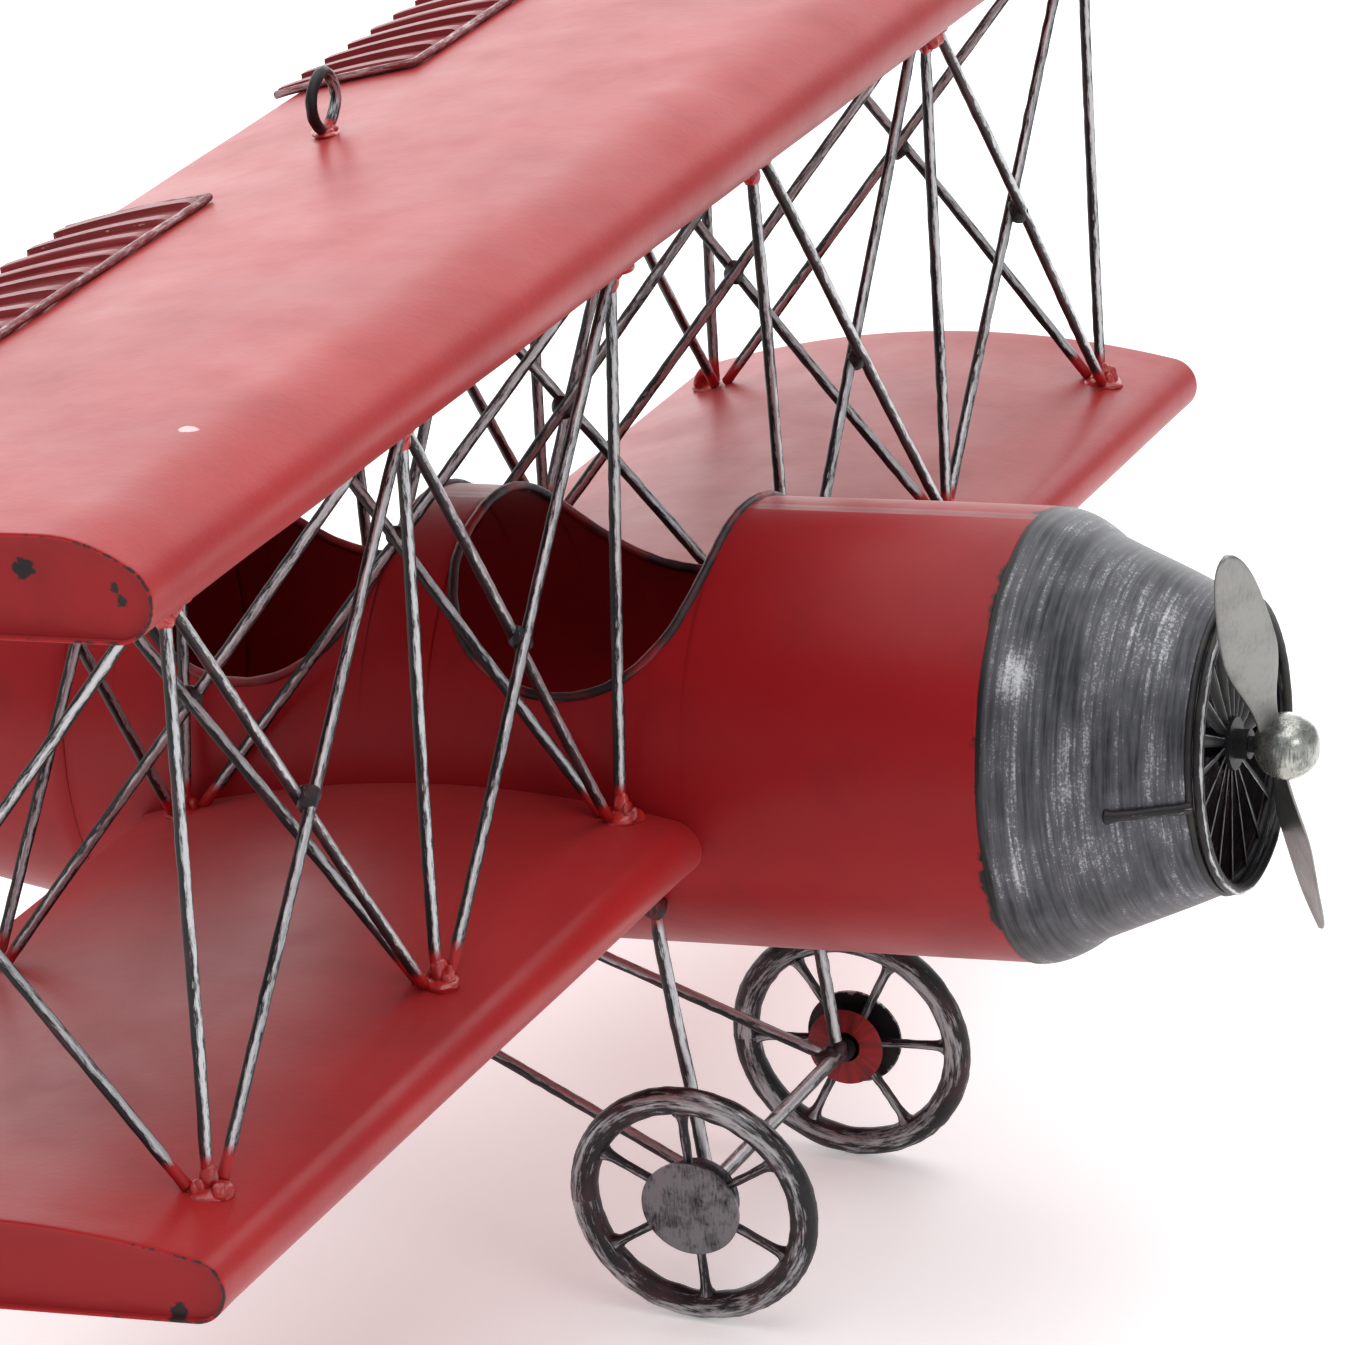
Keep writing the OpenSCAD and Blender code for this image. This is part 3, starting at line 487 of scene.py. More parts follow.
def pewter(name, **changes):
    look = {**pewterLook, **changes}
    material, add, shader = newMaterial(name)
    where = add("coords")
    scratch = add("noise", add("stretch", where, (1.0, 1.0, 0.12)), perMm(look["scratchMm"]), 4.0, 0.7)
    cloud = add("noise", where, perMm(look["cloudMm"]), 5.0, 0.65)
    level = add("timesAdd", scratch, 0.4, add("times", cloud, 0.6))
    grime = add("remap", level, 0.46, 0.62, 0.0, look["grimeAmount"])
    base = add("mix", grime, toLinear(look["metal"]), toLinear(look["grime"]))
    rough = add("remap", grime, 0.0, 0.6, look["rough"], look["rough"] + 0.14)
    plug(shader, Base_Color=base, Metallic=0.85, Roughness=rough, Normal=add("bump", scratch, 0.2, 0.0003))
    return material


# dark chips at the right wing tips and one near the middle of the upper wing, and a pale pink spot on the upper
# wing's top that is a painted highlight
wingChipsAndHighlight = (((-334.5, 101.8, 143.7), 3.2, "#1d1719"), ((-334.5, 81.2, 140.5), 1.8, "#2a1d1f"),
             ((-334.5, 80.0, 137.6), 2.0, "#2a1d1f"), ((-334.5, 82.8, -19.5), 2.6, "#2a1517"),
             ((-260, 96, 151), 2.5, "#dcb4b4"), ((-39.5, 175, 148), 1.2, "#7c2a2e"))
enamel = dict(
    wing=redEnamel("satin_red_enamel_wing", chips=wingChipsAndHighlight, cloudy=0.25, rubCut=1.0, rubbed="#3a2326"),
    # the tube and the tail cone take a darker copy of the wing's red: painted shade
    body=redEnamel("satin_red_enamel_body_painted_shade", red="#8b1117", bright="#951419", rubCut=1.04),
    # the tip plates take another darker copy of the wing's red: painted shade
    tip=redEnamel("satin_red_enamel_tip_painted_shade", red="#8d1116", bright="#98151a", deep="#6a0d11", chips=wingChipsAndHighlight))
panelPaint = redEnamel("dark_red_enamel", red="#6e1419", bright="#7d1a1f", deep="#430b0e", rubbed="#b57a7c",
                       speckMm=1.2)
weldPaint = redEnamel("brushed_red_over_weld", red="#9c1a1b", bright="#b72a26", deep="#5b0f12", cloudMm=6,
                      peelMm=0.9, gloss=0.28, shine=0.5, dust=0.0)
wirePaint = dict(
    strut=blackenedWire("blackened_strut_wire", silverAmount=0.36, black="#121013", grainMm=0.7,
                        rubShare=0.36),
    rim=blackenedWire("blackened_cockpit_bead", silverAmount=0.25, red="#7c1517"),
    border=blackenedWire("rubbed_panel_wire", silverAmount=0.55, black="#6a2a2d", undercoat="#7a2a2d",
                         silver="#b79c9c"),
    hoop=blackenedWire("rubbed_hoop_wire", silverAmount=0.45, undercoat="#2b2a22"),
    wheel=blackenedWire("rubbed_wheel_iron", silverAmount=1.15, streakMm=6, grainMm=1.1, rubShare=0.12,
                        silver="#a9a9ab"),
    gear=blackenedWire("rubbed_gear_wire", silverAmount=0.75),
    backHub=blackenedWire("overpainted_hub", silverAmount=0.1, red="#a3181b", grainMm=3.5))
cowlPaint = cowlingPaint()
pewterPaint = pewter("brushed_pewter")
ballPaint = pewter("polished_pewter_ball", rough=0.22, grimeAmount=0.8, cloudMm=6, metal="#b5b6ae",
                   grime="#3c3c40")
discPaint = pewter("scratched_hub_steel", metal="#77777a", grime="#1d1c1e", cloudMm=6, rough=0.34,
                   grimeAmount=0.9)
plainPaint = blackenedWire("blackened_steel", onSheet=False, silverAmount=0.3, undercoat="#1c1b1d")
slotOf = {s["node"]: s["material_slot"] for s in frame["record"]["subparts"]}
for name, node in nodes.items():
    slotName = slotOf[name]
    finishes = (("dark_red", panelPaint), ("enamel", enamel["body"]), ("weld", weldPaint), ("", plainPaint))
    look = next(paint for word, paint in finishes if word in slotName)
    if not node.material_slots:
        node.data.materials.append(look)
    for slotIndex in range(len(node.material_slots)):
        node.material_slots[slotIndex].material = look
print("materials done")

# ---------- wings

# the section's nose radius and turn, its peak place and height, its tail radius and turn
wingLook = dict(upper=(9.2, 118, 24, 23.5, 4, 74), lower=(7.5, 103, 64, 21, 4.5, 74), sheet=0.8, recess=1.5,
                dent=0.32, dentLength=90, dish=1.6, rows=150)


def archHeight(shape, chord, x):
    # height of the wing's top over its flat underside: one parabola up to the peak, another down to the tail
    noseR, noseTurn, peakX, peakH, tailR, tailTurn = shape
    turn = math.radians(noseTurn)
    leadX, leadH = noseR * (1 + math.cos(turn)), noseR * (1 + math.sin(turn))
    tailX = chord - tailR * (1 - math.cos(math.radians(tailTurn)))
    tailH = tailR * (1 + math.sin(math.radians(tailTurn)))
    rise = peakH - (peakH - leadH) * ((peakX - x) / (peakX - leadX)) ** 2
    fall = peakH - (peakH - tailH) * ((x - peakX) / (tailX - peakX)) ** 2
    return np.where(x < peakX, rise, fall), leadX, tailX


def sectionOutline(shape, chord, inset):
    # closed outline of a wing section as (y, z): from under the nose, over the top, round the tail and back
    noseR, noseTurn, _, _, tailR, tailTurn = shape
    _, leadX, tailX = archHeight(shape, chord, 0.0)
    a = np.radians(np.linspace(270, noseTurn, 26))
    nose = np.stack([noseR + (noseR - inset) * np.cos(a), noseR + (noseR - inset) * np.sin(a)], -1)
    x = np.linspace(leadX, tailX, 50)[1:-1]
    over = np.stack([x, archHeight(shape, chord, x)[0] - inset], -1)
    a = np.radians(np.linspace(tailTurn, -90, 18))
    tail = np.stack([chord - tailR + (tailR - inset) * np.cos(a), tailR + (tailR - inset) * np.sin(a)], -1)
    x = np.linspace(chord - tailR, noseR, 30)[1:-1]
    under = np.stack([x, np.full_like(x, inset)], -1)
    return np.concatenate([nose, over, tail, under])


def outlineNormal(outline):
    turn = np.roll(outline, -1, 0) - np.roll(outline, 1, 0)
    return unit(np.stack([-turn[:, 1], turn[:, 0]], -1))   # points out, as the outline runs over the top


def wingSkin(shape, low, high, seed):
    # the outer skin from tip to tip, over each rim, and the inner wall back again; it is bowed in only, by up
    # to twice the dent depth
    chord = high[1] - low[1]
    sheet = wingLook["sheet"]
    rim = np.array([0.0, 0.08, 0.3, 0.62, 1.0]) * 0.5 * sheet
    tuck = 0.5 * sheet - np.sqrt(np.maximum((0.5 * sheet) ** 2 - (0.5 * sheet - rim) ** 2, 0))   # a round lip
    x0, x1 = low[0], high[0]
    span = np.linspace(x0 + 3, x1 - 3, wingLook["rows"])
    outerX = np.concatenate([x0 + rim, [x0 + 1.2], span, [x1 - 1.2], x1 - rim[::-1]])
    outerIn = np.concatenate([tuck, [0], span * 0, [0], tuck[::-1]])
    innerX = np.concatenate([x1 - np.array([0.1, 1.0, 8.0]), np.linspace(x1 - 40, x0 + 40, 8),
                             x0 + np.array([8.0, 1.0, 0.1])])
    innerIn = np.full(len(innerX), sheet)
    xs, insets = np.concatenate([outerX, innerX]), np.concatenate([outerIn, innerIn])
    isOuter = np.arange(len(xs)) < len(outerX)
    outline = sectionOutline(shape, chord, 0.0)
    normal = outlineNormal(outline)
    yz = outline[None] - normal[None] * insets[:, None, None]
    points = np.empty((len(xs), len(outline), 3))
    points[..., 0] = xs[:, None]
    points[..., 1:] = yz + low[1:]
    dent = wingLook["dent"] * (1 + ripple(points, wingLook["dentLength"], seed)) / 2
    calm = np.clip((np.minimum(xs - x0, x1 - xs) - 1) / 8, 0.15, 1) * isOuter
    points[..., 1:] -= normal[None] * (dent * calm[:, None])[..., None]
    edge = np.clip(1 - (np.minimum(np.abs(xs - x0), np.abs(x1 - xs))) / 1.8, 0, 1)
    nose = 0.45 + 0.55 * np.clip(1 - outline[:, 0] / (0.3 * chord), 0, 1)   # most rubbed round the nose
    return points, edge[:, None] * nose[None]


def tipCap(shape, low, high, x, face, seed):
    # the plate in a wing tip: the inset outline shrunk to its middle in rings, dished, with a back face
    chord = high[1] - low[1]
    outline = sectionOutline(shape, chord, wingLook["sheet"] * 0.9)
    middle = np.array([chord * 0.47, (high[2] - low[2]) * 0.5])
    out = np.array([0, 0.2, 0.4, 0.6, 0.75, 0.87, 0.95, 1.0])
    rings = np.concatenate([out, out[::-1]])
    yz = middle + (outline - middle)[None] * rings[:, None, None]
    depth = wingLook["dish"] * (1 - rings ** 6) * 0.5
    depth[len(out):] += wingLook["sheet"]
    points = np.empty((len(rings), len(outline), 3))
    points[..., 0] = (x - face * depth)[:, None]
    points[..., 1:] = yz + low[1:]
    points[..., 0] += 0.25 * ripple(points, 25, seed) * (1 - rings[:, None] ** 4)
    edge = np.clip((rings - 0.93) / 0.07, 0, 1) * 0.5
    return part(points, False, True, rub=np.broadcast_to(edge[:, None], points.shape[:2]))


def makeWings():
    low, high = airBox("upper_wing_skin")
    points, rub = wingSkin(wingLook["upper"], low, high, 3)
    makePiece("upper_wing", [part(points, True, True, rub=rub)], enamel["wing"], ["upper_wing_skin"],
              sharpDeg=50)
    caps = [tipCap(wingLook["upper"], low, high, low[0] + wingLook["recess"], -1, 5),
            tipCap(wingLook["upper"], low, high, high[0] - wingLook["recess"], 1, 6)]
    makePiece("upper_wing_tips", caps, enamel["tip"], ["upper_wing_caps"])
    caps = []
    for side, seed in (("right", 7), ("left", 8)):
        low, high = airBox(side + "_lower_wing")
        shape = wingLook["lower"]
        points, rub = wingSkin(shape, low, high, seed)
        # the root is trimmed to the tube: no point lies nearer to the centre line than the tube's side
        facing = -1 if side == "right" else 1
        tubeX = np.sqrt(np.maximum(bodyRadius ** 2 - points[..., 2] ** 2, 0)) - 0.3
        points[..., 0] = facing * np.maximum(facing * points[..., 0], tubeX)
        inner = np.abs(points[..., 0]) < bodyRadius + 4
        makePiece(side + "_lower_wing_skin", [part(points, True, True, rub=np.where(inner, 0, rub))],
                  enamel["wing"], [side + "_lower_wing"], sharpDeg=50)
        tip = low[0] if side == "right" else high[0]
        caps.append(tipCap(shape, low, high, tip - facing * wingLook["recess"], facing, seed + 3))
    makePiece("lower_wing_tips", caps, enamel["tip"], ["lower_wing_caps"])


# ---------- corrugated panels, their wires and the hanging ring

panelLook = dict(pitch=15.0, ridge=5.0, rise=1.5, soft=0.9, sheet=1.0, lift=0.12, scallop=1.4, wire=1.05,
                 step=0.55, columns=26, hollow=0.5)


def wingTop(y):
    low, high = airBox("upper_wing_skin")
    return low[2] + archHeight(wingLook["upper"], high[1] - low[1], y - low[1])[0]


def makePanels():
    wires = []
    for side, seed in ((-1, 21), (1, 22)):
        node = "right_aileron" if side < 0 else "left_aileron"
        low, high = airBox(node)
        inner, tip = sorted([abs(low[0]), abs(high[0])])
        y0, y1 = low[1], high[1]
        x = np.linspace(inner, tip, int((tip - inner) / panelLook["step"]))
        place = (x - inner - 1) % panelLook["pitch"]
        ramp = np.clip(np.minimum(place, panelLook["ridge"] - place) / panelLook["soft"] + 0.5, 0, 1)
        ramp = ramp * ramp * (3 - 2 * ramp)
        columns = panelLook["columns"]
        across = np.concatenate([np.linspace(0, 1, columns), np.linspace(1, 0, columns)])
        upper = np.arange(2 * columns) < columns
        reach = y1 - 0.4 - panelLook["scallop"] * (1 - ramp) * (0.8 + 0.3 * np.sin(x * 0.9))
        y = y0 + (reach[:, None] - y0) * across[None]
        crown = 0.25 + 0.75 * np.sin(np.pi * np.clip(across, 0.02, 0.98)) ** 0.35
        height = panelLook["lift"] + upper * panelLook["sheet"] * crown
        crest = upper * panelLook["rise"] * ramp[:, None] * np.clip(across * 14 + 0.35, 0, 1)
        valley = np.exp(-((place[:, None] - 10) / 2.6) ** 2)
        hollow = -panelLook["hollow"] * upper * (1 - ramp[:, None]) * valley
        z = wingTop(np.minimum(y, y1)) + height + crest + hollow
        points = np.stack([side * np.broadcast_to(x[:, None], y.shape), y, z], -1)
        rub = upper * (1 - np.abs(2 * ramp[:, None] - 1)) * (0.7 + 0.3 * ripple(points, 9, seed))
        ends = points[[0, -1]].copy()
        ends[..., 2] = wingTop(np.minimum(ends[..., 1], y1)) + panelLook["lift"]
        points = np.concatenate([ends[:1], points, ends[1:]])
        rub = np.concatenate([rub[:1] * 0, rub, rub[-1:] * 0])
        makePiece(node + "_panel", [part(points, False, True, rub=np.clip(rub, 0, 1))], panelPaint, [node],
                  sharpDeg=35)
        r = panelLook["wire"]
        xs = np.linspace(tip, inner - r, 60)
        frontY = np.full(60, y0 - r)
        front = np.stack([side * xs, frontY, wingTop(frontY) + r + 0.1], -1)
        ys = np.linspace(y0 - r, y1 - 1, 24)[1:]
        sidePath = np.stack([np.full(23, side * (inner - r)), ys, wingTop(ys) + r + 0.1], -1)
        path = np.concatenate([front, sidePath])
        path[:, 2] += 0.15 * ripple(path, 40, seed)
        wires.append(tube(resampled(path, 170), r, sides=10, uneven=0.05, seed=seed,
                          rub=0.6, paint=0.15))
    makePiece("panel_wires", wires, wirePaint["border"], ["aileron_borders"])


# the ring's wire radius, its path's step in from the outside and its waviness; the foot's lumps are
# (offset, half-sizes)
ringLook = dict(wire=1.45, inset=1.5, wave=0.15,
                lumps=(((0, 0, 0.2), (4.6, 3.6, 1.5)), ((1.2, 0.4, 1.0), (2.2, 2.4, 1.6)),
                       ((-1.6, -0.3, 0.8), (2.0, 2.2, 1.5))))


def makeRing():
    centre, radius = airRound("hanging_ring")
    radius -= ringLook["inset"]
    a = wholeTurn(72)
    wave = ringLook["wave"] * np.sin(3 * a)
    path = centre + np.stack([radius * np.sin(a), wave, -radius * np.cos(a)], -1)
    foot = np.exp(-(np.minimum(a, 2 * math.pi - a) / 0.55) ** 2)
    wire = tube(path, ringLook["wire"], True, uneven=0.06, seed=31, paint=foot * 0.9,
                rub=0.5 + 0.3 * np.sin(a))
    makePiece("ring_wire", [wire], wirePaint["strut"], ["hanging_ring"])
    base = np.array([centre[0], centre[1], airBox("hanging_ring")[0][2]])
    lumps = [blob(base + off, size, 32 + k) for k, (off, size) in enumerate(ringLook["lumps"])]
    makePiece("ring_foot", lumps, weldPaint, ["ring_weld"])


# ---------- fuselage, cockpit edges and tail cone

bodyLook = dict(sheet=1.0, cutRadius=33.0, cutLift=1.0, bead=1.25, dent=0.22, dentLength=70, columns=150,
                lipWide=3.0, sprayWide=10.0)


def cutEdge(y, centre):
    # angle from the top to the edge of a cockpit's round cut, at each place along the tube
    dy = np.clip(np.abs(y - centre), 0, bodyLook["cutRadius"])
    z = bodyRadius - bodyLook["cutLift"] - np.sqrt(bodyLook["cutRadius"] ** 2 - dy ** 2)
    return np.where(np.abs(y - centre) <= bodyLook["cutRadius"], np.arccos(np.clip(z / bodyRadius, -1, 1)), 0)


def makeFuselage():
    cockpits = [airBox(n) for n in ("front_cockpit_rim", "rear_cockpit_rim")]
    centres = [(low[1] + high[1]) / 2 for low, high in cockpits]
    r = bodyLook["cutRadius"]
    rear = bodyLength - np.array([1.2, 0.4, 0.12, 0])
    y = [np.array([0, 0.15, 0.5, 1.2, 2.5]), np.linspace(4, bodyLength - 3, 90), rear]
    for c in centres:
        arc = c + r * np.sin(np.linspace(-math.pi / 2, math.pi / 2, 41))
        y += [arc, np.array([c - r - 0.6, c + r + 0.6])]
    y = np.unique(np.round(np.concatenate(y), 3))
    # rows that crowd the ends of a cut, or each other, are left out
    ends = np.array([c + k * r for c in centres for k in (-1, 1)])
    near = np.abs(y[:, None] - ends).min(1)
    y = np.unique(np.concatenate([y[near > 0.35], ends]))
    kept = (np.diff(y) > 0.25) | (y[1:] < 1.3) | (y[1:] > bodyLength - 0.5) | np.isin(y[1:], ends)
    y = y[np.concatenate([[True], kept])]
    edge = np.maximum(cutEdge(y, centres[0]), cutEdge(y, centres[1]))[:, None]
    n = bodyLook["columns"]
    share = np.linspace(0, 1, n)
    spread = (1 - 2 * share) * np.abs(1 - 2 * share)   # columns move aside for a cut mostly near its edges
    angle = 2 * math.pi * share[None] + edge * spread[None]
    angle = np.concatenate([angle, angle[:, ::-1]], 1)
    outer = np.arange(2 * n) < n
    endIn = np.clip(1 - np.minimum(y, bodyLength - y) / 0.5, 0, 1) ** 2 * bodyLook["sheet"] / 2
    radius = bodyRadius + np.where(outer[None], -endIn[:, None], endIn[:, None] - bodyLook["sheet"])
    along = np.broadcast_to(y[:, None], angle.shape)
    points = np.stack([radius * np.sin(angle), along, radius * np.cos(angle)], -1)
    dent = bodyLook["dent"] * (1 + ripple(points, bodyLook["dentLength"], 41)) / 2
    scale = 1 - dent * (endIn[:, None] == 0) / bodyRadius
    points[..., 0] *= scale
    points[..., 2] *= scale
    sprayed = np.clip(1 - along / bodyLook["sprayWide"], 0, 1)   # black reaches a few mm onto the tube
    fromCut = np.minimum(angle, 2 * math.pi - angle) - edge
    lip = np.clip(1 - fromCut * bodyRadius / bodyLook["lipWide"], 0, 1) * (edge > 0)
    rub = np.maximum(lip, np.clip(1 - (bodyLength - along) / 1.6, 0, 1) * 0.8)
    columnsAround = np.concatenate([share, share[::-1], share[:1]]) * 2 * math.pi * bodyRadius
    rowsAlong = lengths(np.stack([y * 0, y, y * 0], -1))
    makePiece("fuselage_tube", [part(points, False, True, rowsAlong, columnsAround, rub=rub, paint=sprayed)],
              enamel["body"], ["fuselage_shell"], sharpDeg=50, cleanSeam=True)
    for name, c, seed in (("front", centres[0], 51), ("rear", centres[1], 52)):
        t = np.linspace(-math.pi / 2, math.pi / 2, 60)
        yEdge = c + (r - 0.5) * np.sin(t)
        half = np.stack([yEdge, cutEdge(yEdge, c) - 0.004], -1)
        cross = np.linspace(0, half[0, 1], 8)[:-1]
        frontEnd = np.stack([np.full(7, half[0, 0] - 0.3), cross], -1)
        rearEnd = np.stack([np.full(7, half[-1, 0] + 0.3), cross[::-1]], -1)
        one = np.concatenate([frontEnd, half, rearEnd])
        loop = np.concatenate([one, (one * [1, -1])[::-1][1:-1]])
        path = np.stack([bodyRadius * np.sin(loop[:, 1]), loop[:, 0], bodyRadius * np.cos(loop[:, 1])], -1)
        path = resampled(path, 260, True)
        path = sum(np.roll(path, k, 0) for k in (2, -2, 1, -1, 0)) / 5
        inward = unit(path * [1, 0, 1])
        path = path - inward * 0.35
        bead = tube(path, bodyLook["bead"], True, sides=12, normals=inward, uneven=0.09, seed=seed,
                    rub=0.35 + 0.35 * ripple(path, 30, seed), paint=0.45 + 0.40 * ripple(path, 18, seed + 4))
        makePiece(name + "_cockpit_bead", [bead], wirePaint["rim"], [name + "_cockpit_rim"])


coneLook = dict(bow=1.2, sheet=1.0, step=0.35, dent=0.1, dentLength=60)


def makeTailCone():
    # the radius falls from the front to the back as the distance along to the power bow, then a round cap
    low, high = airBox("tail_cone")
    capLow, capHigh = airBox("tail_cap")
    frontR, endR = (high[0] - low[0]) / 2, (capHigh[0] - capLow[0]) / 2
    along = np.linspace(0, 1, 40)
    y = low[1] + along * (high[1] - low[1])
    radius = frontR - (frontR - endR) * along ** coneLook["bow"]
    a = np.linspace(0, math.pi / 2, 14)
    dome = np.stack([capLow[1] + (capHigh[1] - capLow[1]) * np.sin(a), endR * np.cos(a)], -1)
    outside = np.concatenate([np.stack([y, radius], -1)[:-1], dome])
    outside[0, 1] -= coneLook["step"]
    outside = np.insert(outside, 1, [[y[0] + 0.4, radius[0] - 0.02]], 0)
    inside = np.stack([y, radius - coneLook["sheet"]], -1)[::-1]
    back = np.array([[high[1] - 0.2, 0.0]])
    profile = np.concatenate([outside, back, inside])
    rub = np.clip(1 - np.abs(profile[:, 0] - y[0]) / 1.6, 0, 1) * 0.7
    skin = turned(profile, (0, 0, 0), uneven=coneLook["dent"], wavelength=coneLook["dentLength"], seed=61,
                  rub=rub)
    makePiece("tail_cone_skin", [skin], enamel["body"], ["tail_cone", "tail_cap"], sharpDeg=50)


# ---------- cowling, hoops, grille and propeller

cowlLook = dict(shoulder=14.0, sheet=1.0, dent=0.2, hoop=1.4, backHoop=0.95, grilleHoop=1.15, stripWide=2.1,
                stripThin=0.5, stripLean=28, hook=1.25, smearAim=(-0.82, 0.0, 0.57), smearBack=7,
                smearSize=(5, 3.5, 8))


def makeCowling():
    low, high = airBox("cowling")
    reach, backR = high[1] - low[1], (high[0] - low[0]) / 2
    points = airPoints("cowling")
    frontR = np.abs(points[points[:, 1] < low[1] + 0.01, 0]).max()
    slope = (backR - frontR) / reach
    t = np.linspace(0, 1, 22)
    shoulderR = backR - slope * cowlLook["shoulder"]
    shoulder = np.stack([high[1] - t * cowlLook["shoulder"],
                         (1 - t) ** 2 * backR + 2 * t * (1 - t) * backR + t * t * shoulderR], -1)
    cone = np.stack([np.linspace(shoulder[-1, 0], low[1], 30), np.linspace(shoulderR, frontR, 30)], -1)[1:]
    outside = np.concatenate([shoulder, cone])
    profile = np.concatenate([outside, outside[::-1] - [0, cowlLook["sheet"] / math.cos(math.atan(slope))]])
    rub = np.clip(1 - np.abs(profile[:, 0] - high[1]) / 5, 0, 1)
    skin = turned(profile, (0, 0, 0), sides=200, uneven=cowlLook["dent"], wavelength=28, seed=71, rub=rub)
    spot = unit(np.array(cowlLook["smearAim"])) * backR + [0, high[1] - cowlLook["smearBack"], 0]
    off = (skin["points"] - spot) / cowlLook["smearSize"]
    skin["marks"]["paint"] = np.exp(-(off ** 2).sum(-1))   # the silver smear
    makePiece("cowling_skin", [skin], cowlPaint, ["cowling"], sharpDeg=50)
    (_, y, _), radius = airRound("cowling_hoop")
    a = wholeTurn(120)
    ring = np.stack([np.cos(a), 0 * a, np.sin(a)], -1)
    hoopOut = unit(ring - [0, 1.0, 0])
    hoops = [tube(ring * (radius - 1.5) + [0, y, 0], cowlLook["hoop"], True, uneven=0.05, seed=72,
                  normals=hoopOut, highlightOrRub="edges"),
             tube(ring * (radius - 0.6) + [0, y + 2.3, 0], cowlLook["backHoop"], True, uneven=0.08, seed=73,
                  rub=0.15)]
    makePiece("cowling_front_hoops", hoops, wirePaint["hoop"], ["cowling_hoop"])
    (_, y, _), radius = airRound("grille_hoop")
    hoop = tube(ring * (radius - 1.2) + [0, y, 0], cowlLook["grilleHoop"], True, uneven=0.06, seed=74,
                normals=hoopOut, highlightOrRub="edges")
    makePiece("grille_ring", [hoop], wirePaint["hoop"], ["grille_hoop"])
    strips = []
    for k, (a0, b0, _) in enumerate(rods("grille_wires")):
        inner, outer = sorted((a0, b0), key=lambda p: np.linalg.norm(p[[0, 2]]))
        out = unit((outer - inner) * [1, 0, 1])
        path = np.linspace(inner, outer, 14)
        side = np.cross(out, [0, 1, 0])
        lean = math.radians(cowlLook["stripLean"])
        normal = side * math.cos(lean) + np.array([0, 1, 0]) * math.sin(lean)
        width = cowlLook["stripWide"] * (0.55 + 0.45 * np.linspace(0, 1, 14))
        strips.append(tube(path, width, sides=10, normals=normal, uneven=0.03, seed=80 + k, highlightOrRub="edges",
                           flat=cowlLook["stripThin"] / cowlLook["stripWide"]))
    makePiece("grille_strips", strips, wirePaint["hoop"], ["grille_wires"])
    b0, a0 = sorted(rods("cowling_hook")[0][:2], key=lambda p: p[1])
    along, out = unit(b0 - a0), unit(a0 * [1, 0, 1])
    t = np.linspace(0, 1, 24)
    dip = 0.5 + 0.7 * np.exp(-t / 0.08) + 0.7 * np.exp(-(1 - t) / 0.1)   # its ends bend into the sheet
    path = a0 + along * (t * np.linalg.norm(b0 - a0))[:, None] - out * dip[:, None]
    flare = cowlLook["hook"] + 0.7 * np.exp(-t / 0.1) + 0.5 * np.exp(-(1 - t) / 0.1)
    makePiece("cowling_hook_wire", [tube(path, flare, uneven=0.1, seed=75, rub=0.3)], wirePaint["gear"],
              ["cowling_hook"])


propLook = dict(thick=1.2, wideAt=0.45, rootShare=0.4, rootPitch=-50, tipPitch=-40, wide=14.6, wave=0.35,
                dent=0.35, camber=0.9, stripBack=3.2, ballSheet=(26, 52))


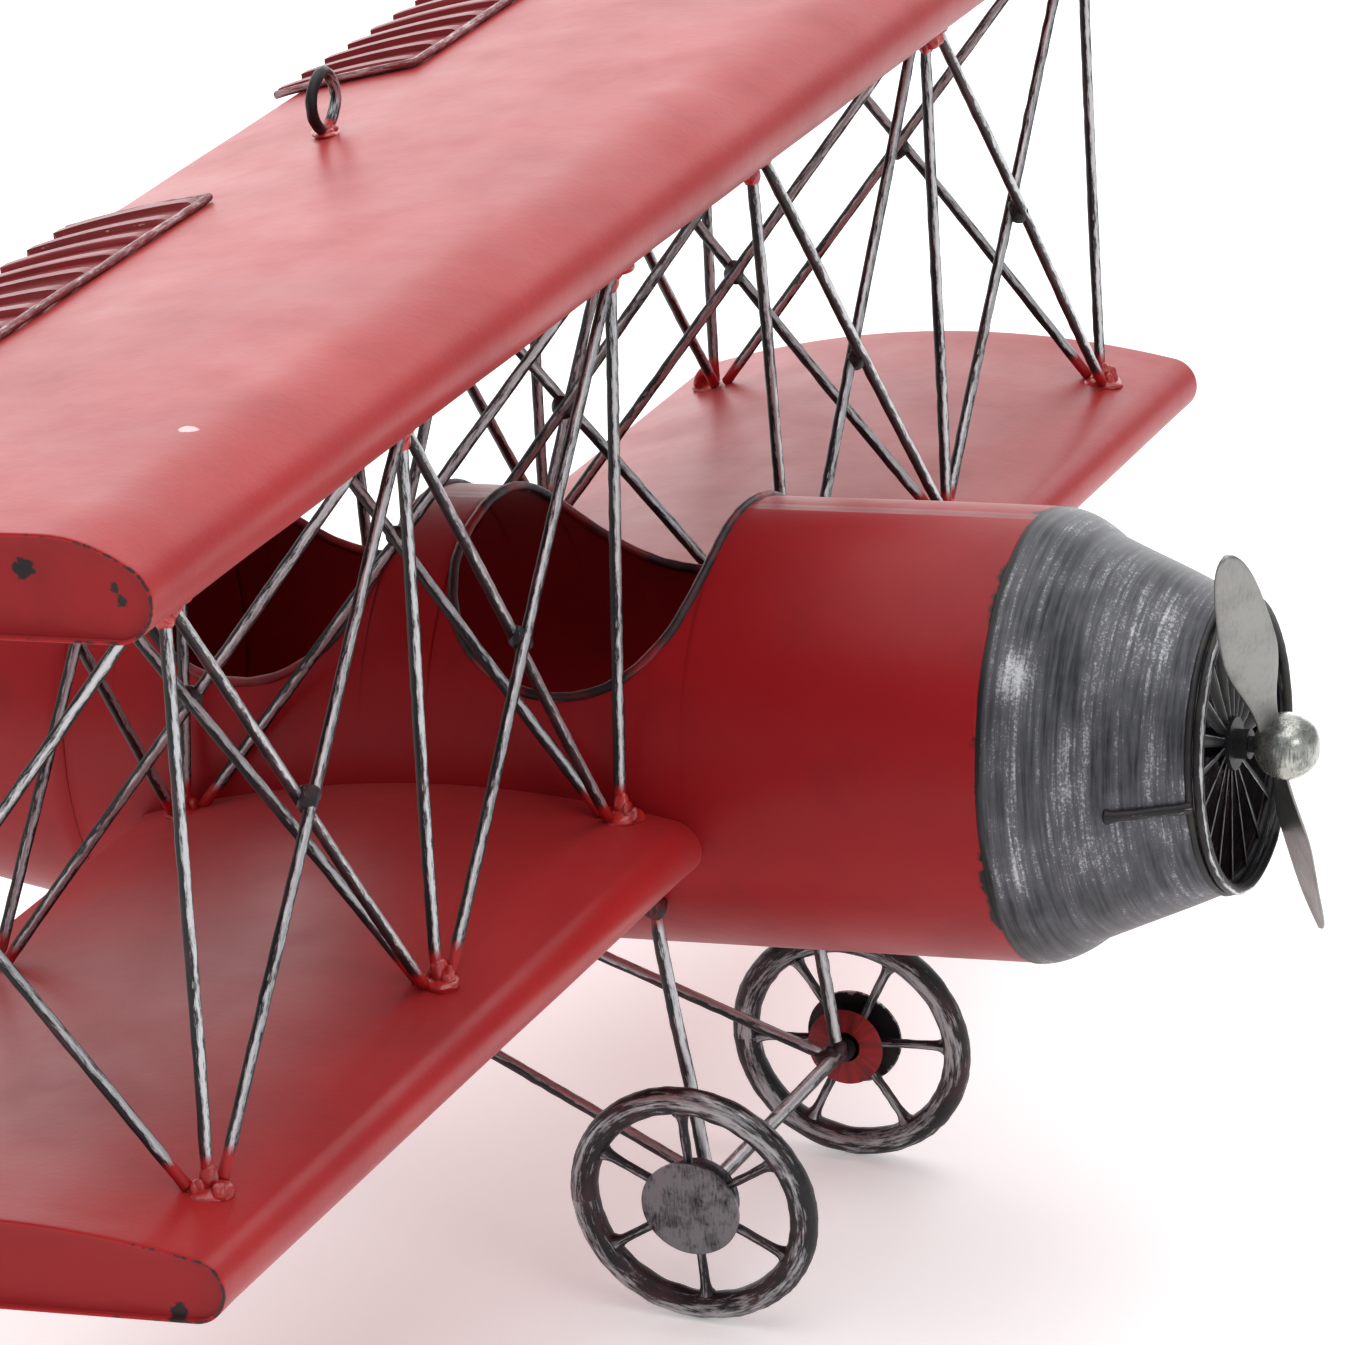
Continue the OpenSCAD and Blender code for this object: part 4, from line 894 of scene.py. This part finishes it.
def makePropeller():
    ball, ballR = airRound("propeller_hub")
    upper, lower = airPoints("upper_blade"), airPoints("lower_blade")
    tipR = np.linalg.norm(np.concatenate([upper, lower])[:, [0, 2]], axis=1).max()
    tip = upper[np.linalg.norm(upper[:, [0, 2]], axis=1).argmax()]
    turn = math.atan2(tip[0], tip[2])
    root = ballR - 1.5
    blade = root + np.linspace(0, 1, 60)[1:] * (tipR - root)
    r = np.concatenate([-blade[::-1], np.linspace(-root, root, 17)[1:-1], blade])
    r = np.concatenate([[r[0]], r, [r[-1]]])
    t = np.clip((np.abs(r) - root) / (tipR - root), 0, 1)
    at, first = propLook["wideAt"], propLook["rootShare"]
    share = np.where(t < at, first + (1 - first) * np.sin(np.pi / 2 * np.minimum(t / at, 1)) ** 2,
                     np.sqrt(np.maximum(0.0, 1 - (np.maximum(t - at, 0) / (1 - at)) ** 2.2)))
    share = np.maximum(share, 0.06)
    share[[0, -1]] = 0.0
    pitch = np.radians(propLook["rootPitch"] + (propLook["tipPitch"] - propLook["rootPitch"]) * t)
    ease = np.clip(r / root, -1, 1)
    ease = 1.5 * ease - 0.5 * ease ** 3
    angle = ease * pitch
    around = wholeTurn(28)
    ca, sa = np.cos(around), np.sin(around)
    w = share[:, None] * propLook["wide"] / 2 * np.sign(ca) * np.abs(ca) ** 0.8
    h = propLook["thick"] / 2 * np.sign(sa) * np.abs(sa) ** 0.6 * (share > 0)[:, None]
    across, through = np.cos(angle)[:, None], np.sin(angle)[:, None]
    h = h + propLook["camber"] * share[:, None] * (ca ** 2 - 0.5)
    x, y = w * across - h * through, w * through + h * across
    strip = np.stack([x, y, np.broadcast_to(r[:, None], x.shape)], -1)
    free = np.clip((np.abs(r) - root) / 10, 0, 1)[:, None]
    strip[..., 1] += propLook["wave"] * ripple(strip, 34, 91) * free
    strip = rolled(strip, -turn) + ball + [0, propLook["stripBack"], 0]
    rub = np.broadcast_to(np.clip(np.abs(np.cos(around)) ** 6, 0, 1)[None], x.shape)
    makePiece("propeller_strip", [part(strip, False, True, r - r.min(), rub=rub)], pewterPaint,
              ["upper_blade", "lower_blade"], "propeller", 60)
    polar = np.linspace(0, math.pi, 40)[:, None]
    a = wholeTurn(64)[None]
    sp, cp = np.sin(polar), np.cos(polar)
    aim = np.stack([sp * np.cos(a), -cp * np.ones_like(a), sp * np.sin(a)], -1)
    radius = ballR - propLook["dent"] * (1 + ripple(aim * ballR, 9, 92)).clip(0, 2) / 2
    tall, wide = propLook["ballSheet"]
    downward, sideways = np.linspace(0, tall, 41), np.linspace(0, wide, 65)
    makePiece("propeller_ball", [part(ball + aim * radius[..., None], False, True, downward, sideways)],
              ballPaint, ["propeller_hub"], "propeller")


# ---------- struts, bracing and their welds

# the direction given after paintReach is where the wires' painted silver highlight faces
strutLook = dict(bow=0.55, uneven=0.07, paintReach=8.0, highlightFrom=(-0.5, -0.65, 0.55), knot=(2.5, 2.9, 3.0),
                 weldFoot=(5.4, 5.2, 2.3), weldNeck=(2.15, 2.15, 3.2), beads=4)
wireKinds = ("struts", "outer_cross", "middle_cross", "inner_cross", "outer_bracing", "inner_bracing")
wireNodes = [side + "_" + kind for side in ("right", "left") for kind in wireKinds]


def bentWire(a, b, radius, seed, bow, rows=48, ends=1.0, low=True, **marks):
    # straight from a to b, bowed by sine waves that leave its ends in place; the low or high end is painted
    rng = np.random.default_rng(seed)
    t = np.linspace(0, 1, rows)
    along = unit(b - a)
    side = unit(np.cross(along, rng.normal(size=3)))
    other = np.cross(along, side)
    one, two, three = rng.uniform(-1, 1, 3)
    across = bow * (one * np.sin(math.pi * t) + 0.3 * three * np.sin(3 * math.pi * t))
    path = a + (b - a) * t[:, None] + side * across[:, None] \
        + other * (bow * 0.5 * two * np.sin(2 * math.pi * t))[:, None]
    reach = np.linalg.norm(b - a) * (t if (a[2] < b[2]) == low else 1 - t)
    paint = ends * np.exp(-(reach / strutLook["paintReach"]) ** 2)
    # the silver strip on the side facing up and forward is a painted highlight
    outward = unit(np.array(strutLook["highlightFrom"]))
    return tube(path, radius, sides=12, normals=outward, uneven=strutLook["uneven"], seed=seed, highlightOrRub="side",
                paint=paint, **marks)


def nearestPoints(one, two):
    # the place and the distance at which two straight wires pass closest to each other
    a, b, c, d = one[0], one[1], two[0], two[1]
    u, v, w = b - a, d - c, a - c
    uu, uv, vv, uw, vw = u @ u, u @ v, v @ v, u @ w, v @ w
    bottom = uu * vv - uv * uv
    if bottom < 1e-6 * uu * vv:
        return None
    s, t = (uv * vw - vv * uw) / bottom, (uu * vw - uv * uw) / bottom
    if not (0.04 < s < 0.96 and 0.04 < t < 0.96):
        return None
    p, q = a + u * s, c + v * t
    return (p + q) / 2, np.linalg.norm(p - q)


def makeStruts():
    seed = 100
    for node in wireNodes:
        found, parts = rods(node), []
        for a, b, radius in found:
            seed += 1
            parts.append(bentWire(a, b, radius * 0.97, seed, strutLook["bow"]))
        for i in range(len(found)):
            for j in range(i):
                meet = nearestPoints(found[i], found[j])
                if meet is not None and meet[1] < 4.5 and "struts" not in node:
                    seed += 1
                    parts.append(blob(meet[0], strutLook["knot"], seed, 0.3, rub=0.4))
        makePiece(node + "_wire", parts, wirePaint["strut"], [node])
    for node, facing in (("lower_welds", 1), ("upper_welds", -1)):
        lumps = []
        for points in islands(node):
            seed += 1
            low, high = points.min(0), points.max(0)
            foot = (low + high) / 2
            foot[2] = low[2] if facing > 0 else high[2]
            rng = np.random.default_rng(seed)
            lumps.append(blob(foot + [0, 0, facing * 0.7], strutLook["weldFoot"], seed, 0.25))
            for k in range(strutLook["beads"]):
                off = rng.uniform(-2.6, 2.6, 2)
                lumps.append(blob(foot + [off[0], off[1], facing * rng.uniform(1.0, 3.2)],
                                  rng.uniform(1.5, 2.4, 3) * [1, 1, 1.25], seed * 7 + k, 0.28))
            lumps.append(blob(foot + [0, 0, facing * 4.2], strutLook["weldNeck"], seed * 5, 0.2))
        makePiece(node.replace("welds", "weld_lumps"), lumps, weldPaint, [node])


# ---------- landing gear and wheels

wheelLook = dict(rim=3.45, spoke=1.15, flare=1.25, lean=dict(right=8.0, left=5.0), axle=1.85,
                 axleEnd=1.48, uneven=0.045, bore=1.58, core=3.9, mouth=2.75, mouthDeep=3.2, flareReach=1.3,
                 foot=0.5, footReach=2.5, discDent=0.22)
# the collar behind each wheel as (out from its inner face, share of the disc's radius)
collarEdge = ((0, 0.76), (0.3, 0.8), (0.8, 0.78), (1.1, 0.74))


def makeLegs():
    seed = 300
    for node in ("right_front_leg", "left_front_leg", "right_rear_leg", "left_rear_leg"):
        a, b, radius = rods(node)[0]
        seed += 1
        parts = [bentWire(a, b, radius * (1.1 if "front" in node else 0.98), seed, 0.5, ends=0.7, low=False)]
        makePiece(node + "_wire", parts, wirePaint["gear"], [node])
    lumps = []
    for points in islands("gear_welds"):
        seed += 1
        low, high = points.min(0), points.max(0)
        onBody = (low[2] + high[2]) / 2 > -70
        lumps.append(blob((low + high) / 2, (high - low) * (0.52 if onBody else 0.75), seed, 0.25,
                          paint=0.45 if onBody else 0.1))
    makePiece("gear_weld_lumps", lumps, wirePaint["gear"], ["gear_welds"])
    low, high = airBox("axle")
    collars = airBox("axle_collars")
    y, z = (low[1] + high[1]) / 2, (low[2] + high[2]) / 2
    x = np.concatenate([[low[0]], np.linspace(low[0] + 1.6, high[0] - 1.6, 90), [high[0]]])
    inside = np.clip((collars[1][0] - 3.5 - np.abs(x)) / 1.5, 0, 1)
    radius = wheelLook["axleEnd"] + (wheelLook["axle"] - wheelLook["axleEnd"]) * inside
    path = np.stack([x, y + 0 * x, z + 0 * x], -1)
    # the silver strip along the axle's upper front side is a painted highlight
    rod = tube(path, radius, sides=16, normals=np.array([0, -0.6, 0.8]), uneven=0.02, seed=310, highlightOrRub="side")
    makePiece("axle_rod", [rod], wirePaint["gear"], ["axle"])


def makeWheels():
    for side, sign in (("right", -1), ("left", 1)):
        centre = airJoint(side + "_wheel_roll")
        low, high = airBox(side + "_tyre")
        ringR = (high[2] - low[2]) / 2 - (high[0] - low[0]) / 2
        lean = math.radians(wheelLook["lean"][side])

        def leaned(points):
            # the wheel sits a little loose on its axle
            return rolled(points - centre, lean) + centre

        a = wholeTurn(140)
        path = centre + np.stack([0.2 * np.sin(2 * a), ringR * np.cos(a), ringR * np.sin(a)], -1)
        out = unit((path - centre) * [0, 1, 1])
        outward = unit(out * 0.3 + np.array([sign * 0.9, 0, 0]))
        rim = tube(path, wheelLook["rim"], True, sides=22, normals=outward, uneven=wheelLook["uneven"],
                   seed=320 + sign, highlightOrRub="edges")
        rim["points"] = leaned(rim["points"])
        makePiece(side + "_wheel_rim", [rim], wirePaint["wheel"], [side + "_tyre"], body=side + "_wheel")
        parts = []
        for k, (p, q, _) in enumerate(rods(side + "_spokes")):
            inner, outer = sorted((p, q), key=lambda end: np.linalg.norm(end - centre))
            t = np.linspace(0, 1, 26)
            path = inner + (outer - inner) * t[:, None]
            reach = np.linalg.norm(outer - inner)
            outEnd = wheelLook["flare"] * np.exp(-(1 - t) * reach / wheelLook["flareReach"])
            inEnd = wheelLook["foot"] * np.exp(-t * reach / wheelLook["footReach"])
            radius = wheelLook["spoke"] + outEnd + inEnd
            spoke = tube(path, radius, sides=12, normals=np.array([sign * 1.0, 0.1, 0.2]), uneven=0.08,
                         seed=330 + 10 * sign + k, highlightOrRub="edges")
            spoke["points"] = leaned(spoke["points"])
            parts.append(spoke)
        makePiece(side + "_wheel_spokes", parts, wirePaint["wheel"], [side + "_spokes"], body=side + "_wheel")
        low, high = airBox(side + "_hub")
        discR = (high[2] - low[2]) / 2
        outX, inX = (high[0], low[0]) if sign > 0 else (low[0], high[0])
        bore, core, mouth = (wheelLook[k] for k in ("bore", "core", "mouth"))
        lipX, stepX = outX - sign * 1.0, outX - sign * wheelLook["mouthDeep"]
        core = [(inX, core), (lipX, core), (lipX, mouth), (stepX, mouth), (stepX, bore), (inX, bore)]
        collar = [(inX + sign * out, discR * share) for out, share in collarEdge]
        collar = [(inX, bore), *collar, (inX + sign * 1.0, bore)]
        r = np.array([0, 0.2, 0.4, 0.6, 0.8, 0.93, 0.985, 1.0])
        face = outX - sign * (0.1 + 0.5 * r ** 2)
        back = outX - sign * (1.1 + 0.35 * r ** 2)
        disc = np.concatenate([np.stack([face, r * discR], -1), np.stack([back, r * discR], -1)[::-1]])
        where = (0, centre[1], centre[2])
        plate = turned(disc, where, "x", 72, rub=np.concatenate([r ** 8, r[::-1] ** 8]))
        plate["points"][..., 0] += wheelLook["discDent"] * ripple(plate["points"], 16, 340 + sign)
        plate["closeU"] = False
        plate["points"] = leaned(plate["points"])
        shade = discPaint if side == "right" else wirePaint["backHub"]
        hub = [turned(core, where, "x", 40, paint=np.full(6, 0.6)),
               turned(collar, where, "x", 48, paint=np.full(6, 0.55)), plate]
        makePiece(side + "_wheel_hub", hub, shade, [side + "_hub"], body=side + "_wheel", sharpDeg=50)


# ---------- tail

skidLook = dict(thick=1.5, reach=13.0, gap=3.0)


def makeTailSkid():
    # two bent wires stand on a short runner that lies along the ground
    spots = framePoints("tail_skid")
    thick, reach = skidLook["thick"], skidLook["reach"]
    rearY = spots[spots[:, 2] < thick, 1].max() - thick
    runner = np.array([[0, rearY - 2 * reach, thick], [0, rearY, thick]])
    welds = sorted([(p.min(0) + p.max(0)) / 2 for p in islands("skid_welds")], key=lambda p: p[1])
    feet = np.array([[0, rearY - reach + k * skidLook["gap"], thick] for k in (-1, 1)])
    feet = levelled(feet) - jointCentre
    ends = levelled(runner) - jointCentre
    parts = [bentWire(ends[0], ends[1], thick * 0.92, 401, 0.0, rows=20, ends=0.0)]
    for k in range(2):
        parts.append(bentWire(feet[k], welds[k], thick * 0.95, 402 + k, 0.25, rows=24, ends=0.4, low=False))
    makePiece("tail_skid_wires", parts, wirePaint["gear"], ["tail_skid"])
    seed = 410
    lumps = []
    for points in islands("skid_welds"):
        seed += 1
        low, high = points.min(0), points.max(0)
        lumps.append(blob((low + high) / 2, (high - low) * 0.52, seed, 0.25, paint=0.6))
    makePiece("skid_weld_lumps", lumps, wirePaint["gear"], ["skid_welds"])


makeWings()
makePanels()
makeRing()
print("wings done")
makeFuselage()
makeTailCone()
makeCowling()
makePropeller()
print("body and propeller done")
makeStruts()
makeLegs()
makeWheels()
makeTailSkid()
print("wires and wheels done")

# ---------- studio

# the camera's angles are in degrees, its lens in millimetres and its distance in metres from the aim, which
# is a place in aeroplane millimetres; the powers are in watts
studio = dict(azimuth=-69.15, elevation=19.74, roll=0.27, lens=233.1, distance=2.0907,
              aim=(-27.83, 85.28, 20.94), floor="#fbfbfa", floorDull="#ececea", floorGlow=0.28, world=0.5,
              worldTint="#f4f6fa", topPower=38, backPower=31, sidePower=6)


def placeCamera():
    a, e, r = (math.radians(studio[k]) for k in ("azimuth", "elevation", "roll"))
    back = Vector((math.sin(a) * math.cos(e), -math.cos(a) * math.cos(e), math.sin(e)))
    camera = bpy.data.objects.new("camera", bpy.data.cameras.new("camera"))
    bpy.context.scene.collection.objects.link(camera)
    turn = (-back).to_track_quat("-Z", "Y").to_matrix().to_4x4() @ Matrix.Rotation(r, 4, "Z")
    place = Vector(stood(np.array(studio["aim"]))) + back * studio["distance"]
    camera.matrix_world = Matrix.Translation(place) @ turn
    camera.data.lens = studio["lens"]
    camera.data.sensor_width = 36
    camera.data.clip_end = 20
    bpy.context.scene.camera = camera


def addLight(name, place, aim, size, power, colour="#ffffff"):
    light = bpy.data.lights.new(name, "AREA")
    light.shape = "RECTANGLE"
    light.size, light.size_y = size
    light.energy = power
    light.color = toLinear(colour)[:3]
    lamp = bpy.data.objects.new(name, light)
    bpy.context.scene.collection.objects.link(lamp)
    lamp.location = place
    lamp.rotation_euler = (Vector(aim) - Vector(place)).to_track_quat("-Z", "Y").to_euler()


def makeStudio():
    bpy.ops.mesh.primitive_plane_add(size=16, location=(0, 0, 0))
    floor = bpy.context.object
    floor.name = "floor"
    material, add, shader = newMaterial("white_paper")
    tone = add("remap", add("noise", add("coords"), 3.0, 3.0, 0.5), 0.3, 0.7, 0.9, 1.0)
    paper = add("mix", tone, toLinear(studio["floorDull"]), toLinear(studio["floor"]))
    plug(shader, Base_Color=paper, Roughness=0.8, Emission_Color=toLinear("#ffffff"),
         Emission_Strength=studio["floorGlow"])
    floor.data.materials.append(material)
    world = bpy.data.worlds.new("soft_room")
    world.use_nodes = True
    world.node_tree.nodes["Background"].inputs[0].default_value = toLinear(studio["worldTint"])
    world.node_tree.nodes["Background"].inputs[1].default_value = studio["world"]
    bpy.context.scene.world = world
    addLight("top_softbox", (0.0, 0.1, 1.9), (0, 0.1, 0), (2.6, 2.6), studio["topPower"])
    # stands behind the model, so low-angle reflections on the wings are pale
    addLight("back_softbox", (1.75, 0.7, 0.85), (0, 0, 0.15), (3.2, 1.7), studio["backPower"])
    addLight("side_softbox", (-1.2, -1.9, 1.0), (0, 0, 0.15), (1.0, 0.8), studio["sidePower"])
    bpy.context.scene.view_settings.view_transform = "Standard"


placeCamera()
makeStudio()
print("studio done")
